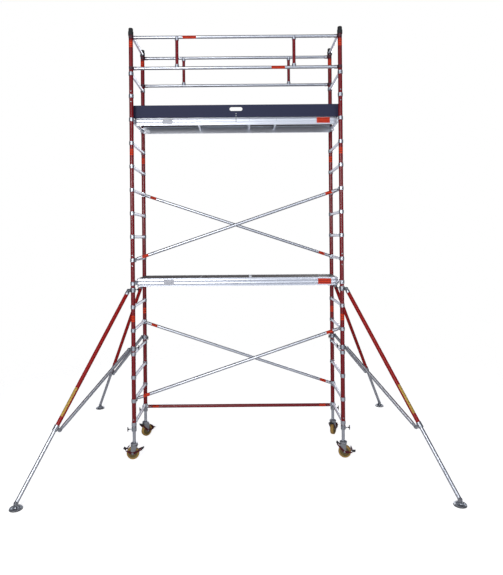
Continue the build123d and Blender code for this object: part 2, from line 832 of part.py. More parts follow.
def platform_hooks():
    """Claws at the four corners of each platform, with a wind latch under the rung."""
    solids = []
    saddle_r = rung_od / 2 + hook_gap
    outer_r = saddle_r + platform_hook_wall
    half_y = rail_width / 2
    for level in platform_rungs:
        z = rung_heights[level]
        for sx in (-1, 1):
            x = sx * half_bay
            for y in (-rail_centre_y, rail_centre_y):
                claw = rod((x, y - half_y, z), (x, y + half_y, z), 2 * outer_r)
                inner_x = sx * platform_half_length
                web = sorted((inner_x, x))
                claw += block(web, (y - half_y, y + half_y),
                              (z - platform_hook_drop, z + outer_r - 3))
                outer_x = sorted((x, x + sx * outer_r))
                claw += block(outer_x, (y - half_y, y + half_y), (z - platform_hook_drop, z))
                claw -= block((x - 2 * outer_r, x + 2 * outer_r),
                              (y - rail_width, y + rail_width),
                              (z - 2 * outer_r, z - platform_hook_drop))
                claw -= rod((x, y - rail_width, z), (x, y + rail_width, z), 2 * saddle_r)
                claw -= block((x - saddle_r, x + saddle_r), (y - rail_width, y + rail_width),
                              (z - 2 * platform_hook_drop, z))
                spare = block(sorted((inner_x, inner_x - sx * outer_r)),
                              (y - rail_width, y + rail_width), (z - outer_r, z + outer_r))
                claw -= spare
                latch_top = z - saddle_r - part_gap
                latch = block(sorted((inner_x + sx * 2, x + sx * outer_r)),
                              (y - half_y + 3, y + half_y - 3),
                              (latch_top - latch_thickness, latch_top))
                latch = fillet(latch.edges().filter_by(Axis.Y), latch_thickness * 0.4)
                solids += [claw, latch]
    return solids


# ---- Toe boards ---------------------------------------------------------------

def toe_board_base():
    return rail_top(platform_rungs[-1]) - toe_board_overlap


def toe_boards():
    """Long boards outside the side rails and short boards across the ends."""
    low = toe_board_base()
    z = (low, low + toe_board_height)
    inner = platform_width / 2 + strap_thickness
    outer = inner + toe_board_thickness
    solids = []
    for side in (-1, 1):
        board = block((-half_bay, half_bay), sorted((side * inner, side * outer)), z)
        board = fillet(board.edges().filter_by(Axis.X).group_by(Axis.Z)[-1], 4)
        slot = Pos(0, 0, low + toe_slot_centre) * (Plane.XZ * extrude(
            SlotOverall(*toe_slot), 2 * outer, both=True))
        board -= slot
        for height in strap_bolt_heights:
            board -= rod((0, side * (inner - 1), low + height),
                         (0, side * (outer + 1), low + height), strap_bolt_d + 2 * bond_gap)
        solids.append(board)
    end_x = half_bay - 10
    for side in (-1, 1):
        board = block(sorted((side * (end_x - toe_board_thickness), side * end_x)),
                      (-inner, inner), z)
        board = fillet(board.edges().filter_by(Axis.Y).group_by(Axis.Z)[-1], 4)
        solids.append(board)
    return solids


def toe_board_brackets():
    """Strap on each side rail, bolted to the back of the toe board."""
    top = rail_top(platform_rungs[-1])
    low = toe_board_base()
    inner = platform_width / 2
    outer = inner + strap_thickness + toe_board_thickness
    half = strap_width / 2
    solids = []
    for side in (-1, 1):
        strap = block((-half, half), sorted((side * inner, side * (inner + strap_thickness))),
                      (top - strap_low, top + strap_high))
        bolts = []
        for height in strap_bolt_heights:
            z = low + height
            strap -= rod((0, side * (inner - 1), z), (0, side * outer, z),
                         strap_bolt_d + 2 * bond_gap)
            bolt = rod((0, side * inner, z), (0, side * outer, z), strap_bolt_d)
            head = rod((0, side * outer, z), (0, side * (outer + 3), z), strap_bolt_head_d)
            bolts.append(bolt + head)
        solids += [strap] + bolts
    return solids


# ---- Outriggers ---------------------------------------------------------------
# Built round an upright at the origin with the foot out along +X, then turned.

def outrigger_place(name):
    x, y = corners[name]
    return Pos(x, y, 0) * Rot(0, 0, outrigger_bearing[name])


def clamp(height, lug_gap):
    """Sleeve round the upright with two lugs and their pin outward, T-screw inward."""
    bore = upright_od + 2 * slip_gap
    outer = bore + 2 * clamp_wall
    low, high = height - clamp_height / 2, height + clamp_height / 2
    body = rod((0, 0, low), (0, 0, high), outer)
    for side in (-1, 1):
        y0 = side * lug_gap / 2
        y1 = y0 + side * lug_thickness
        lug = block((outer / 2 - 9, clamp_pivot_r), sorted((y0, y1)),
                    (height - 17, height + 17))
        lug += rod((clamp_pivot_r, y0, height), (clamp_pivot_r, y1, height), 34)
        body += lug
    boss_r = outer / 2 + boss_length
    body += rod((-outer / 2 + 4, 0, height), (-boss_r, 0, height), boss_d)
    body -= rod((-upright_od / 2 + 4, 0, height), (-boss_r - 1, 0, height),
                screw_d + 2 * bond_gap)
    body -= rod((0, 0, low - 1), (0, 0, high + 1), bore)
    half = lug_gap / 2 + lug_thickness
    body -= rod((clamp_pivot_r, -half - 1, height), (clamp_pivot_r, half + 1, height),
                pivot_pin_d + 2 * bond_gap)
    pin = pin_with_heads((clamp_pivot_r, 0, height), half, pivot_pin_d, 18, 5)
    screw = t_screw(upright_od / 2 + part_gap, boss_r, height)
    return [body, pin, screw]


def outrigger_clamp():
    return clamp(outrigger_top_height, knuckle_thickness + 2 * part_gap)


def outrigger_lower_clamp():
    return clamp(outrigger_clamp_height, strut_eye_thickness + 2 * part_gap)


def eye(centre, way, thickness, od, reach):
    """Flat eye across Y at centre, with a tongue reaching along way."""
    c = Vector(centre)
    shape = rod(c - (0, thickness / 2, 0), c + (0, thickness / 2, 0), od)
    tongue = Pos(0, 0, reach / 2) * Box(od, thickness, reach)
    return shape + along(c, way) * tongue


def outrigger_tube():
    """Red outer tube with a knuckle at the top and the strut collar at its foot."""
    neck = 34.0
    top = upper_pivot + tube_dir * neck
    end = upper_pivot + tube_dir * (outer_tube_length + ear_collar_length / 2)
    bore = outer_tube_od - 2 * outer_tube_wall
    body = tube(top, end, outer_tube_od, outer_tube_wall)
    knuckle = eye(upper_pivot, tube_dir, knuckle_thickness, knuckle_od - 2, neck - 6)
    knuckle += rod(upper_pivot + tube_dir * (neck - 9), top, outer_tube_od)
    knuckle += rod(upper_pivot + tube_dir * (neck - 9), top + tube_dir * 40,
                   bore - 2 * bond_gap)
    knuckle -= rod(upper_pivot - (0, 30, 0), upper_pivot + (0, 30, 0),
                   pivot_pin_d + 2 * pin_gap)
    start = end - tube_dir * ear_collar_length
    collar = rod(start, end, ear_collar_od)
    gap = strut_eye_thickness / 2 + 1.0
    for side in (-1, 1):
        y0, y1 = side * gap, side * (gap + lug_thickness)
        lug = rod(ear_pivot + (0, y0, 0), ear_pivot + (0, y1, 0), 32)
        arm = Pos(0, (y0 + y1) / 2, ear_offset / 2) * Box(32, lug_thickness, ear_offset)
        lug += Plane(origin=ear_pivot, x_dir=tube_dir, z_dir=-tube_inward) * arm
        collar += lug
    collar -= rod(start - tube_dir, end + tube_dir, outer_tube_od + 2 * bond_gap)
    half = gap + lug_thickness
    collar -= rod(ear_pivot - (0, half + 1, 0), ear_pivot + (0, half + 1, 0),
                  pivot_pin_d + 2 * bond_gap)
    pin = pin_with_heads(ear_pivot, half, pivot_pin_d, 18, 5)
    return [body, knuckle, collar, pin]


def outrigger_leg():
    """Inner leg that telescopes in the outer tube, with an eye at the ankle."""
    od = outer_tube_od - 2 * outer_tube_wall - 2 * slip_gap
    neck = 28.0
    low = ankle - tube_dir * neck
    leg = tube(low, ankle - tube_dir * inner_leg_length, od, 3.0)
    foot_eye = eye(ankle, -tube_dir, knuckle_thickness, 34, neck - 4)
    foot_eye += rod(ankle - tube_dir * (neck - 5), low, od)
    foot_eye += rod(ankle - tube_dir * (neck - 5), low - tube_dir * 35, od - 6 - 2 * bond_gap)
    foot_eye -= rod(ankle - (0, 30, 0), ankle + (0, 30, 0), pivot_pin_d + 2 * pin_gap)
    return [leg, foot_eye]


def outrigger_foot():
    """Rubber pad under a steel plate with two lugs for the ankle pin."""
    x = outrigger_foot_radius
    pad = rod((x, 0, 0), (x, 0, 14), foot_pad_d)
    pad = fillet(pad.edges().group_by(Axis.Z)[0], 3)
    pad += Pos(x, 0, 14) * Cone(foot_pad_d / 2, 42, foot_pad_height - 14,
                                align=(Align.CENTER, Align.CENTER, Align.MIN))
    plate_top = foot_pad_height + foot_plate_thickness
    bracket = rod((x, 0, foot_pad_height), (x, 0, plate_top), 78)
    gap = knuckle_thickness / 2 + part_gap
    half = gap + ankle_lug_thickness
    for side in (-1, 1):
        y0, y1 = sorted((side * gap, side * half))
        bracket += block((x - 17, x + 17), (y0, y1), (plate_top - 1, ankle_height))
        bracket += rod((x, y0, ankle_height), (x, y1, ankle_height), 34)
    bracket -= rod((x, -half - 1, ankle_height), (x, half + 1, ankle_height),
                   pivot_pin_d + 2 * bond_gap)
    pin = pin_with_heads((x, 0, ankle_height), half, pivot_pin_d, 18, 4)
    return [pad, bracket, pin]


def outrigger_strut():
    """Stay with a round eye at the clamp and a slotted eye at the collar."""
    neck = 44.0
    slot_end = strut_length - 56
    body = tube(lower_pivot + strut_dir * neck, lower_pivot + strut_dir * slot_end,
                strut_od, strut_wall)
    plug_od = strut_od - 2 * strut_wall - 2 * bond_gap
    near = eye(lower_pivot, strut_dir, strut_eye_thickness, strut_eye_od, neck - 8)
    near += rod(lower_pivot + strut_dir * (neck - 10), lower_pivot + strut_dir * neck, strut_od)
    near += rod(lower_pivot + strut_dir * (neck - 10),
                lower_pivot + strut_dir * (neck + 35), plug_od)
    near -= rod(lower_pivot - (0, 20, 0), lower_pivot + (0, 20, 0),
                pivot_pin_d + 2 * pin_gap)
    wide = strut_slot_width + 16
    c = ear_pivot + strut_dir * (strut_slot_travel / 2)
    far = eye(c, -strut_dir, strut_eye_thickness, wide, strut_slot_travel / 2 + 48)
    shoulder = lower_pivot + strut_dir * (slot_end + 10)
    far += rod(shoulder, lower_pivot + strut_dir * slot_end, strut_od)
    far += rod(shoulder, lower_pivot + strut_dir * (slot_end - 35), plug_od)
    slot = SlotCenterToCenter(strut_slot_travel, strut_slot_width)
    cutter = Plane(origin=ear_pivot, x_dir=strut_dir, z_dir=(0, 1, 0)) * extrude(
        slot, strut_eye_thickness, both=True)
    far -= cutter
    return [body, near, far]


# ---- Output -------------------------------------------------------------------

def main():
    os.makedirs("parts", exist_ok=True)
    for make in (frame_uprights, frame_rungs, joint_spigots, frame_rivets, upright_end_caps,
                 leg_lock_collars, diagonal_braces, horizontal_brace, brace_hooks,
                 guardrail_rails, guardrail_posts, guardrail_clips, platform_frames,
                 platform_decks, platform_hooks, hatch_frames, toe_boards,
                 toe_board_brackets):
        save(make.__name__, make())
    for name, level in zip(("lower", "upper"), platform_rungs):
        save(f"hatch_{name}", hatch(level))
    for name in corners:
        for make in (castor_leg, castor_fork, castor_wheel):
            save(f"{make.__name__}_{name}", [castor_place(name) * s for s in make()])
        rocker = brake_rocker(brake_on[name])
        save(f"brake_pedal_{name}", [castor_place(name) * s for s in rocker])
        for make in (outrigger_clamp, outrigger_tube, outrigger_leg, outrigger_foot,
                     outrigger_lower_clamp, outrigger_strut):
            save(f"{make.__name__}_{name}", [outrigger_place(name) * s for s in make()])


main()
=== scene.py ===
"""Looks of the mobile scaffold tower: finishes, detailed fittings, studio and camera.

The frame is the CAD model's: X along the bay, -Y to the front, +Z up. Places are in metres.
Outlines, profiles, radii and other sizes of the fittings are in millimetres.
"""
import json
from math import cos, pi, radians, sin, sqrt

import bmesh
import bpy
from bpy.props import FloatProperty, FloatVectorProperty, PointerProperty
from mathutils import Matrix, Vector


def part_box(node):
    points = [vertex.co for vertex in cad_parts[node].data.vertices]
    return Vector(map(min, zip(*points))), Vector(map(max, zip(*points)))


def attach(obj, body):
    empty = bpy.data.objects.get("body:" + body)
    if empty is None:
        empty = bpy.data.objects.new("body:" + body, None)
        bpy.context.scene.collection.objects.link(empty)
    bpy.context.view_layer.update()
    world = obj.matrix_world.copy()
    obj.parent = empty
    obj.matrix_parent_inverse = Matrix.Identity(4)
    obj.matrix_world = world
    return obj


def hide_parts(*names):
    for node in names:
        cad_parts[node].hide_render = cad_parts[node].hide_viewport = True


bl_info = {
    "name": "Scaffold tower looks",
    "version": (1, 0, 0),
    "blender": (4, 5, 0),
    "location": "View3D > Sidebar > Tower",
    "description": "Builds the fittings, finishes and studio of a mobile scaffold tower",
    "category": "Object",
}

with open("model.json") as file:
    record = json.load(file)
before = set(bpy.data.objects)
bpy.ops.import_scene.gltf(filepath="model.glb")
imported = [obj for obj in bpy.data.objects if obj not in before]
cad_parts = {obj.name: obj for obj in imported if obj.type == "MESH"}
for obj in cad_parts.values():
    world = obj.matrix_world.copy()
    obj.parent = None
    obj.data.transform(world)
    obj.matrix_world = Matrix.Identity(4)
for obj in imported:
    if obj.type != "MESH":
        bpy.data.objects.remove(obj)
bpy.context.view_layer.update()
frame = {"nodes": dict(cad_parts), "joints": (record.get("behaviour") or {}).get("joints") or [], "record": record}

# ---- Places and sizes taken from the frame ----

MM = 0.001
CORNERS = ("fl", "fr", "rl", "rr")
UP = Vector((0, 0, 1))
FRONT = Vector((0, -1, 0))
JOINTS = {j["name"]: j for j in frame["joints"]}


def anchor(joint):
    """Where a hinge turns, at rest."""
    return Vector(JOINTS[joint]["pos_m"])


def axis(joint):
    """Unit vector along a joint's axis."""
    return Vector(JOINTS[joint]["axis"]).normalized()


def on_floor(joint):
    """Point of the floor below a joint."""
    return Vector((*anchor(joint)[:2], 0))


def solid_boxes(node):
    """Low and high corners of each separate solid of a CAD node."""
    bm = bmesh.new()
    bm.from_mesh(frame["nodes"][node].data)
    bmesh.ops.remove_doubles(bm, verts=bm.verts, dist=0.01 * MM)
    boxes = []
    left = set(bm.verts)
    while left:
        waiting = [left.pop()]
        island = []
        while waiting:
            vert = waiting.pop()
            island.append(vert.co.copy())
            for edge in vert.link_edges:
                other = edge.other_vert(vert)
                if other in left:
                    left.discard(other)
                    waiting.append(other)
        boxes.append((Vector([min(c) for c in zip(*island)]),
                      Vector([max(c) for c in zip(*island)])))
    bm.free()
    return boxes


def tube_end(name):
    """Millimetres from an outrigger's upper pivot to the lower end of its red tube."""
    pivot = anchor("outrigger_fold_" + name)
    down = -axis("outrigger_extend_" + name)
    points = frame["nodes"]["outrigger_tube_" + name].data.vertices
    return max((v.co - pivot).dot(down) for v in points) / MM


HALF_BAY = anchor("castor_swivel_fr").x
HALF_FRAME = -anchor("castor_swivel_fr").y
UPRIGHT_R = (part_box("frame_uprights")[1].x - HALF_BAY) / MM
COLLAR_R = (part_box("frame_rungs")[1].x - HALF_BAY) / MM
TUBE_R = 19.05              # rungs, diagonal braces and guardrails
LEVEL_BRACE_R = 21.0
WHEEL_R = 75.0
RIM_R = 57.0
FORK_TOP = 169.0            # above the floor
CHEEK_IN = 26.5
CHEEK_OUT = 31.5
TRAIL = 16.0
BAND_R = 88.0               # inside of the brake band
PIVOT_R = 64.0              # clamp bolt from the upright's axis
RED_TUBE_R = 22.25
EAR = 58.0                  # strut bolt from the red tube's axis
PAD_R = 64.0


# ---- Mesh building ----

def placed(origin, z_axis, x_axis):
    """Matrix that puts local Z and X along the given directions."""
    z = Vector(z_axis).normalized()
    x = Vector(x_axis)
    x = (x - z * x.dot(z)).normalized()
    turn = Matrix((x, z.cross(x), z)).transposed().to_4x4()
    return Matrix.Translation(origin) @ turn


def turned(place, degrees, about="Z"):
    """The placing matrix turned about one of its own axes."""
    return place @ Matrix.Rotation(radians(degrees), 4, about)


def moved(place, x, y, z):
    """The placing matrix moved by millimetres along its own axes."""
    return place @ Matrix.Translation((x * MM, y * MM, z * MM))


def arc(centre, radius, start, end, steps):
    """Points on an arc, angles in degrees."""
    for i in range(steps + 1):
        a = radians(start + (end - start) * i / steps)
        yield centre[0] + radius * cos(a), centre[1] + radius * sin(a)


def band(radius, thickness, start, end, steps):
    """Outline of a bent strip, angles in degrees."""
    outer = arc((0, 0), radius + thickness, end, start, steps)
    return list(arc((0, 0), radius, start, end, steps)) + list(outer)


def circle(centre, radius, steps=32):
    return list(arc(centre, radius, 0, 360 * (steps - 1) / steps, steps - 1))


def hull(points):
    """Convex outline round plane points, counter-clockwise."""
    points = sorted(set((round(x, 4), round(y, 4)) for x, y in points))

    def half(run):
        kept = []
        for p in run:
            while len(kept) > 1 and ((kept[-1][0] - kept[-2][0]) * (p[1] - kept[-2][1])
                                     <= (kept[-1][1] - kept[-2][1]) * (p[0] - kept[-2][0])):
                kept.pop()
            kept.append(p)
        return kept[:-1]
    return half(points) + half(points[::-1])


def tab(length, half):
    """Outline of a lug from x = 0 to a round end about x = length."""
    return [(0, half), (0, -half)] + list(arc((length, 0), half, -90, 90, 16))


def mirrored(profile):
    """A closed profile from its upper half, which runs from the inside out."""
    return profile + [(r, -h) for r, h in profile[::-1]]


class Shape:
    """A mesh built up in the tower's own frame."""

    def __init__(self):
        self.bm = bmesh.new()

    def skin(self, rings, loop=False):
        """Faces between rings of vertices; a ring of one vertex is a tip."""
        pairs = list(zip(rings, rings[1:]))
        if loop:
            pairs.append((rings[-1], rings[0]))
        for low, high in pairs:
            count = max(len(low), len(high))
            for i in range(count):
                j = (i + 1) % count
                face = [low[i % len(low)], low[j % len(low)],
                        high[j % len(high)], high[i % len(high)]]
                face = list(dict.fromkeys(face))
                if len(face) > 2:
                    self.bm.faces.new(face)

    def ring(self, points):
        return [self.bm.verts.new(p) for p in points]

    def outline(self, points, height, place):
        """Ring of vertices at a height above the placing matrix's plane."""
        return self.ring([place @ (Vector((x, y, height)) * MM) for x, y in points])

    def revolve(self, profile, place, steps=40, loop=False):
        """Turn (radius, height) points about the placing matrix's Z."""
        self.skin([self.outline(circle((0, 0), r, steps) if r > 0.001 else [(0, 0)], h, place)
                   for r, h in profile], loop)

    def prism(self, outline, low, high, place):
        """Extrude a plane outline from low to high along the placing matrix's Z."""
        rings = [self.outline(outline, z, place) for z in (low, high)]
        self.skin(rings)
        self.bm.faces.new(rings[0][::-1])
        self.bm.faces.new(rings[1])

    def pair(self, outline, near, far, place):
        """The same plate on both sides of the placing matrix's plane."""
        self.prism(outline, -far, -near, place)
        self.prism(outline, near, far, place)

    def block(self, low, high, place=Matrix()):
        outline = [(low[0], low[1]), (high[0], low[1]), (high[0], high[1]), (low[0], high[1])]
        self.prism(outline, low[2], high[2], place)

    def bead(self, points, radius):
        """Closed round bead along points, its radius in metres a function of the index."""
        rings = []
        count = len(points)
        for i, p in enumerate(points):
            way = points[(i + 1) % count] - points[i - 1]
            side = UP if abs(way.normalized().z) < 0.95 else Vector((1, 0, 0))
            rings.append(self.outline(circle((0, 0), radius(i) / MM, 8), 0, placed(p, way, side)))
        self.skin(rings, loop=True)

    def bolt(self, place, radius, height, washer=1.0):
        """Hexagon head on a washer, standing on the placing matrix's plane."""
        chamfer = height - 0.5
        self.revolve([(0, 0), (radius * 1.25, 0), (radius * 1.25, washer * 0.7),
                      (radius * 1.15, washer), (0, washer)], place, 24)
        self.prism(circle((0, 0), radius, 6), washer, chamfer, place)
        self.prism(circle((0, 0), radius * 0.9, 6), chamfer, height, place)

    def pin(self, radius, half, place, steps=20):
        """Plain pin, half of it on either side of the placing matrix's plane."""
        self.revolve([(0, -half), (radius, -half), (radius, half), (0, half)], place, steps)

    def rivet(self, place, radius, height):
        """Domed rivet head standing on the placing matrix's plane."""
        dome = [(radius * cos(radians(a)), height * (0.3 + 0.7 * sin(radians(a))))
                for a in (25, 50, 70)]
        self.revolve([(0, 0), (radius, 0), (radius, height * 0.3)] + dome + [(0, height)],
                     place, 16)

    def sticker(self, start, way, facing, radius, length_along, wrap, film):
        """Thin film bent round a tube, wrap in degrees about the facing direction."""
        strip = band(radius + 0.02, film, wrap / 2, -wrap / 2, 14)
        self.prism(strip, 0, length_along, placed(start, way, facing))

    def piece(self, name, body, slot, replaces=(), bevel=0.0, finish=None):
        """Finish the mesh as a piece that rides on a body."""
        bmesh.ops.recalc_face_normals(self.bm, faces=self.bm.faces)
        mesh = bpy.data.meshes.new(name)
        self.bm.to_mesh(mesh)
        self.bm.free()
        mesh.polygons.foreach_set("use_smooth", [True] * len(mesh.polygons))
        mesh.set_sharp_from_angle(angle=radians(33))
        mesh.materials.append(bpy.data.materials[finish or slot])
        thing = bpy.data.objects.new(name, mesh)
        bpy.context.scene.collection.objects.link(thing)
        if bevel:
            edge = thing.modifiers.new("edge", "BEVEL")
            edge.width = bevel * MM
            edge.segments = 2
            edge.limit_method = "ANGLE"
            edge.angle_limit = radians(40)
            edge.harden_normals = True
        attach(thing, body)
        if replaces:
            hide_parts(*replaces)


# ---- Node materials ----

def node(mat, kind, inputs=None, **settings):
    """Add a shader node; inputs are sockets to link or values to set."""
    made = mat.node_tree.nodes.new("ShaderNode" + kind)
    for key, value in settings.items():
        setattr(made, key, value)
    for key, value in (inputs or {}).items():
        if isinstance(value, bpy.types.NodeSocket):
            mat.node_tree.links.new(value, made.inputs[key])
        else:
            made.inputs[key].default_value = value
    return made


def blank(name, **sockets):
    """A new material with constant values on its principled shader."""
    mat = bpy.data.materials.new(name)
    mat.use_nodes = True
    shader = mat.node_tree.nodes["Principled BSDF"]
    for key, value in sockets.items():
        shader.inputs[key.replace("_", " ")].default_value = value
    return mat, shader


def position(mat, stretch=(1, 1, 1)):
    """Place on the object, stretched along the grain."""
    where = node(mat, "TexCoord").outputs["Object"]
    return node(mat, "Mapping", {"Vector": where, "Scale": stretch}).outputs["Vector"]


def noise(mat, where, scale, detail=3.0, rough=0.5):
    inputs = {"Vector": where, "Scale": scale, "Detail": detail, "Roughness": rough}
    return node(mat, "TexNoise", inputs).outputs["Fac"]


def spread(mat, value, low, high, start=0.3, end=0.7):
    """Map a noise value to a range."""
    inputs = {"Value": value, "From Min": start, "From Max": end, "To Min": low, "To Max": high}
    return node(mat, "MapRange", inputs).outputs["Result"]


def ramp(mat, value, *stops):
    """Colours from (position, colour) stops."""
    made = node(mat, "ValToRGB", {"Fac": value})
    band = made.color_ramp
    while len(band.elements) < len(stops):
        band.elements.new(0.5)
    for element, (at, colour) in zip(band.elements, stops):
        element.position = at
        element.color = (*colour, 1)
    return made.outputs["Color"]


def mix(mat, amount, a, b):
    """Mix two colours; either may be a socket or a colour."""
    a, b = (c if isinstance(c, bpy.types.NodeSocket) else (*c, 1) for c in (a, b))
    return node(mat, "MixRGB", {"Fac": amount, "Color1": a, "Color2": b}).outputs["Color"]


def connect(mat, shader, **sockets):
    for key, value in sockets.items():
        mat.node_tree.links.new(value, shader.inputs[key.replace("_", " ")])


def relief(mat, shader, height, depth):
    """Bump from a height value, depth in millimetres."""
    made = node(mat, "Bump", {"Height": height, "Distance": depth * MM})
    mat.node_tree.links.new(made.outputs["Normal"], shader.inputs["Normal"])


def shade(colour, factor):
    return tuple(min(1.0, c * factor) for c in colour)


def metal(name, colour, rough, grain, depth, stretch=(1, 1, 1)):
    """Bare metal: its own grain, cloudy tone and handling marks."""
    mat, shader = blank(name, Metallic=1.0)
    where = position(mat)
    fine = noise(mat, position(mat, stretch), grain, 4.0, 0.6)
    cloud = noise(mat, where, 9.0, 3.0)
    marks = spread(mat, noise(mat, where, 60.0, 5.0, 0.7), 0.0, 1.0, 0.60, 0.72)
    tone = ramp(mat, cloud, (0.3, shade(colour, 0.86)), (0.7, colour))
    tone = mix(mat, spread(mat, fine, 0.0, 0.35), tone, shade(colour, 0.72))
    tone = mix(mat, marks, tone, shade(colour, 0.62))
    rough_map = spread(mat, fine, rough * 0.8, rough * 1.35)
    connect(mat, shader, Base_Color=tone, Roughness=rough_map)
    relief(mat, shader, fine, depth)


def coated(name, colour, rough, grain, depth, stretch=(1, 1, 1), worn=0.25, **sockets):
    """Plastic, paint or rubber: mottled tone, dust in patches, and a fine surface."""
    mat, shader = blank(name, **sockets)
    where = position(mat)
    fine = noise(mat, position(mat, stretch), grain, 4.0, 0.6)
    cloud = noise(mat, where, 7.0, 4.0)
    tone = ramp(mat, fine, (0.3, shade(colour, 0.75)), (0.7, shade(colour, 1.15)))
    dust = spread(mat, noise(mat, where, 38.0, 6.0, 0.72), 0.0, worn, 0.56, 0.74)
    tone = mix(mat, dust, tone, tuple(0.5 * c + 0.2 for c in colour))
    tone = mix(mat, spread(mat, cloud, 0.0, 0.3), tone, shade(colour, 0.7))
    connect(mat, shader, Base_Color=tone, Roughness=spread(mat, cloud, rough * 0.8, rough * 1.3))
    relief(mat, shader, fine, depth)


def ply_board(name, face, edge, pattern, depth, rough):
    """Film-faced plywood: gripping or smooth film on the faces, plies along the edges."""
    mat, shader = blank(name, Specular_IOR_Level=0.25)
    where = position(mat)
    up = node(mat, "SeparateXYZ", {"Vector": where}).outputs["Z"]
    normal = node(mat, "TexCoord").outputs["Normal"]
    facing = node(mat, "SeparateXYZ", {"Vector": normal}).outputs["Z"]
    ply_wave = 2600.0
    plies = node(mat, "Math", {0: up, 1: ply_wave}, operation="MULTIPLY")
    plies = node(mat, "Math", {0: plies.outputs[0]}, operation="SINE").outputs[0]
    cloud = noise(mat, where, 5.0, 5.0, 0.6)
    wear = spread(mat, noise(mat, where, 26.0, 7.0, 0.7), 0.0, 0.25, 0.58, 0.78)
    if pattern:
        cells = node(mat, "TexVoronoi", {"Vector": where, "Scale": pattern},
                     feature="DISTANCE_TO_EDGE").outputs["Distance"]
        height = spread(mat, cells, 1.0, 0.0, 0.0, 0.16)
    else:
        height = noise(mat, position(mat, (1, 14, 14)), 40.0, 5.0, 0.6)
    film = ramp(mat, cloud, (0.3, shade(face, 0.75)), (0.7, shade(face, 1.2)))
    film = mix(mat, wear, film, tuple(c * 0.8 + 0.06 for c in face))
    film = mix(mat, spread(mat, height, 0.0, 0.35, 0.0, 1.0), film, shade(face, 0.55))
    cut = ramp(mat, spread(mat, plies, 0.0, 1.0, -1.0, 1.0),
               (0.35, shade(edge, 0.6)), (0.65, edge))
    flat = node(mat, "Math", {0: facing}, operation="ABSOLUTE").outputs[0]
    flat = spread(mat, flat, 0.0, 1.0, 0.3, 0.6)
    connect(mat, shader, Base_Color=mix(mat, flat, cut, film),
            Roughness=spread(mat, cloud, rough * 0.8, rough * 1.2))
    relief(mat, shader, height, depth)


def decal(name, colour, panel, stripes):
    """Printed film: a plain field with lighter bars, slightly faded."""
    mat, shader = blank(name, Roughness=0.45, Specular_IOR_Level=0.25)
    where = position(mat)
    bars = node(mat, "TexWave", {"Vector": where, "Scale": stripes, "Distortion": 0.0},
                bands_direction="Z").outputs["Fac"]
    bars = spread(mat, bars, 0.0, 1.0, 0.80, 0.86)
    fade = noise(mat, where, 30.0, 4.0)
    tone = ramp(mat, fade, (0.3, shade(colour, 0.88)), (0.7, shade(colour, 1.08)))
    connect(mat, shader, Base_Color=mix(mat, bars, tone, panel))


# ---- Settings ----

def length(label, about, default):
    return FloatProperty(name=label, description=about, default=default, unit="LENGTH",
                         subtype="DISTANCE", precision=4)


def colour(label, about, default):
    return FloatVectorProperty(name=label, description=about, default=default,
                               subtype="COLOR", min=0.0, max=1.0)


class FinishSettings(bpy.types.PropertyGroup):
    red: colour("Fibreglass red", "Uprights and outrigger tubes", (0.46, 0.007, 0.005))
    aluminium: colour("Aluminium", "Rungs, braces and rails", (0.78, 0.80, 0.86))
    orange: colour("Sticker orange", "Plain stickers on the tubes", (0.86, 0.050, 0.008))
    navy: colour("Toe board", "Film on the toe boards", (0.007, 0.009, 0.042))
    deck: colour("Deck", "Film on the decks", (0.060, 0.042, 0.034))
    tyre: colour("Tyre", "Polyurethane tyres", (0.50, 0.29, 0.055))
    brake: colour("Brake", "Brake rockers and guardrail levers", (0.22, 0.008, 0.014))
    yellow: colour("Label", "Plain label on each outrigger", (0.86, 0.55, 0.10))


class FittingSettings(bpy.types.PropertyGroup):
    flute_depth: length("Flute depth", "Depth of the grip flutes on a rung", 0.7 * MM)
    weld_radius: length("Weld bead", "Radius of the weld bead round a rung", 2.6 * MM)
    sticker_length: length("Sticker", "Length of a sticker along its tube", 0.08)
    film: length("Film", "Thickness of a sticker", 0.25 * MM)


class StageSettings(bpy.types.PropertyGroup):
    distance: length("Distance", "Camera to the front uprights", 6.0)
    height: length("Height", "Camera above the floor", 2.63)
    aside: length("Aside", "Camera to the right of the middle", 0.07)
    lens: FloatProperty(name="Lens", description="Focal length in mm", default=31.4)
    roll: FloatProperty(name="Roll", description="Tilt of the horizon", default=radians(0.5),
                        subtype="ANGLE")


# ---- Finishes ----

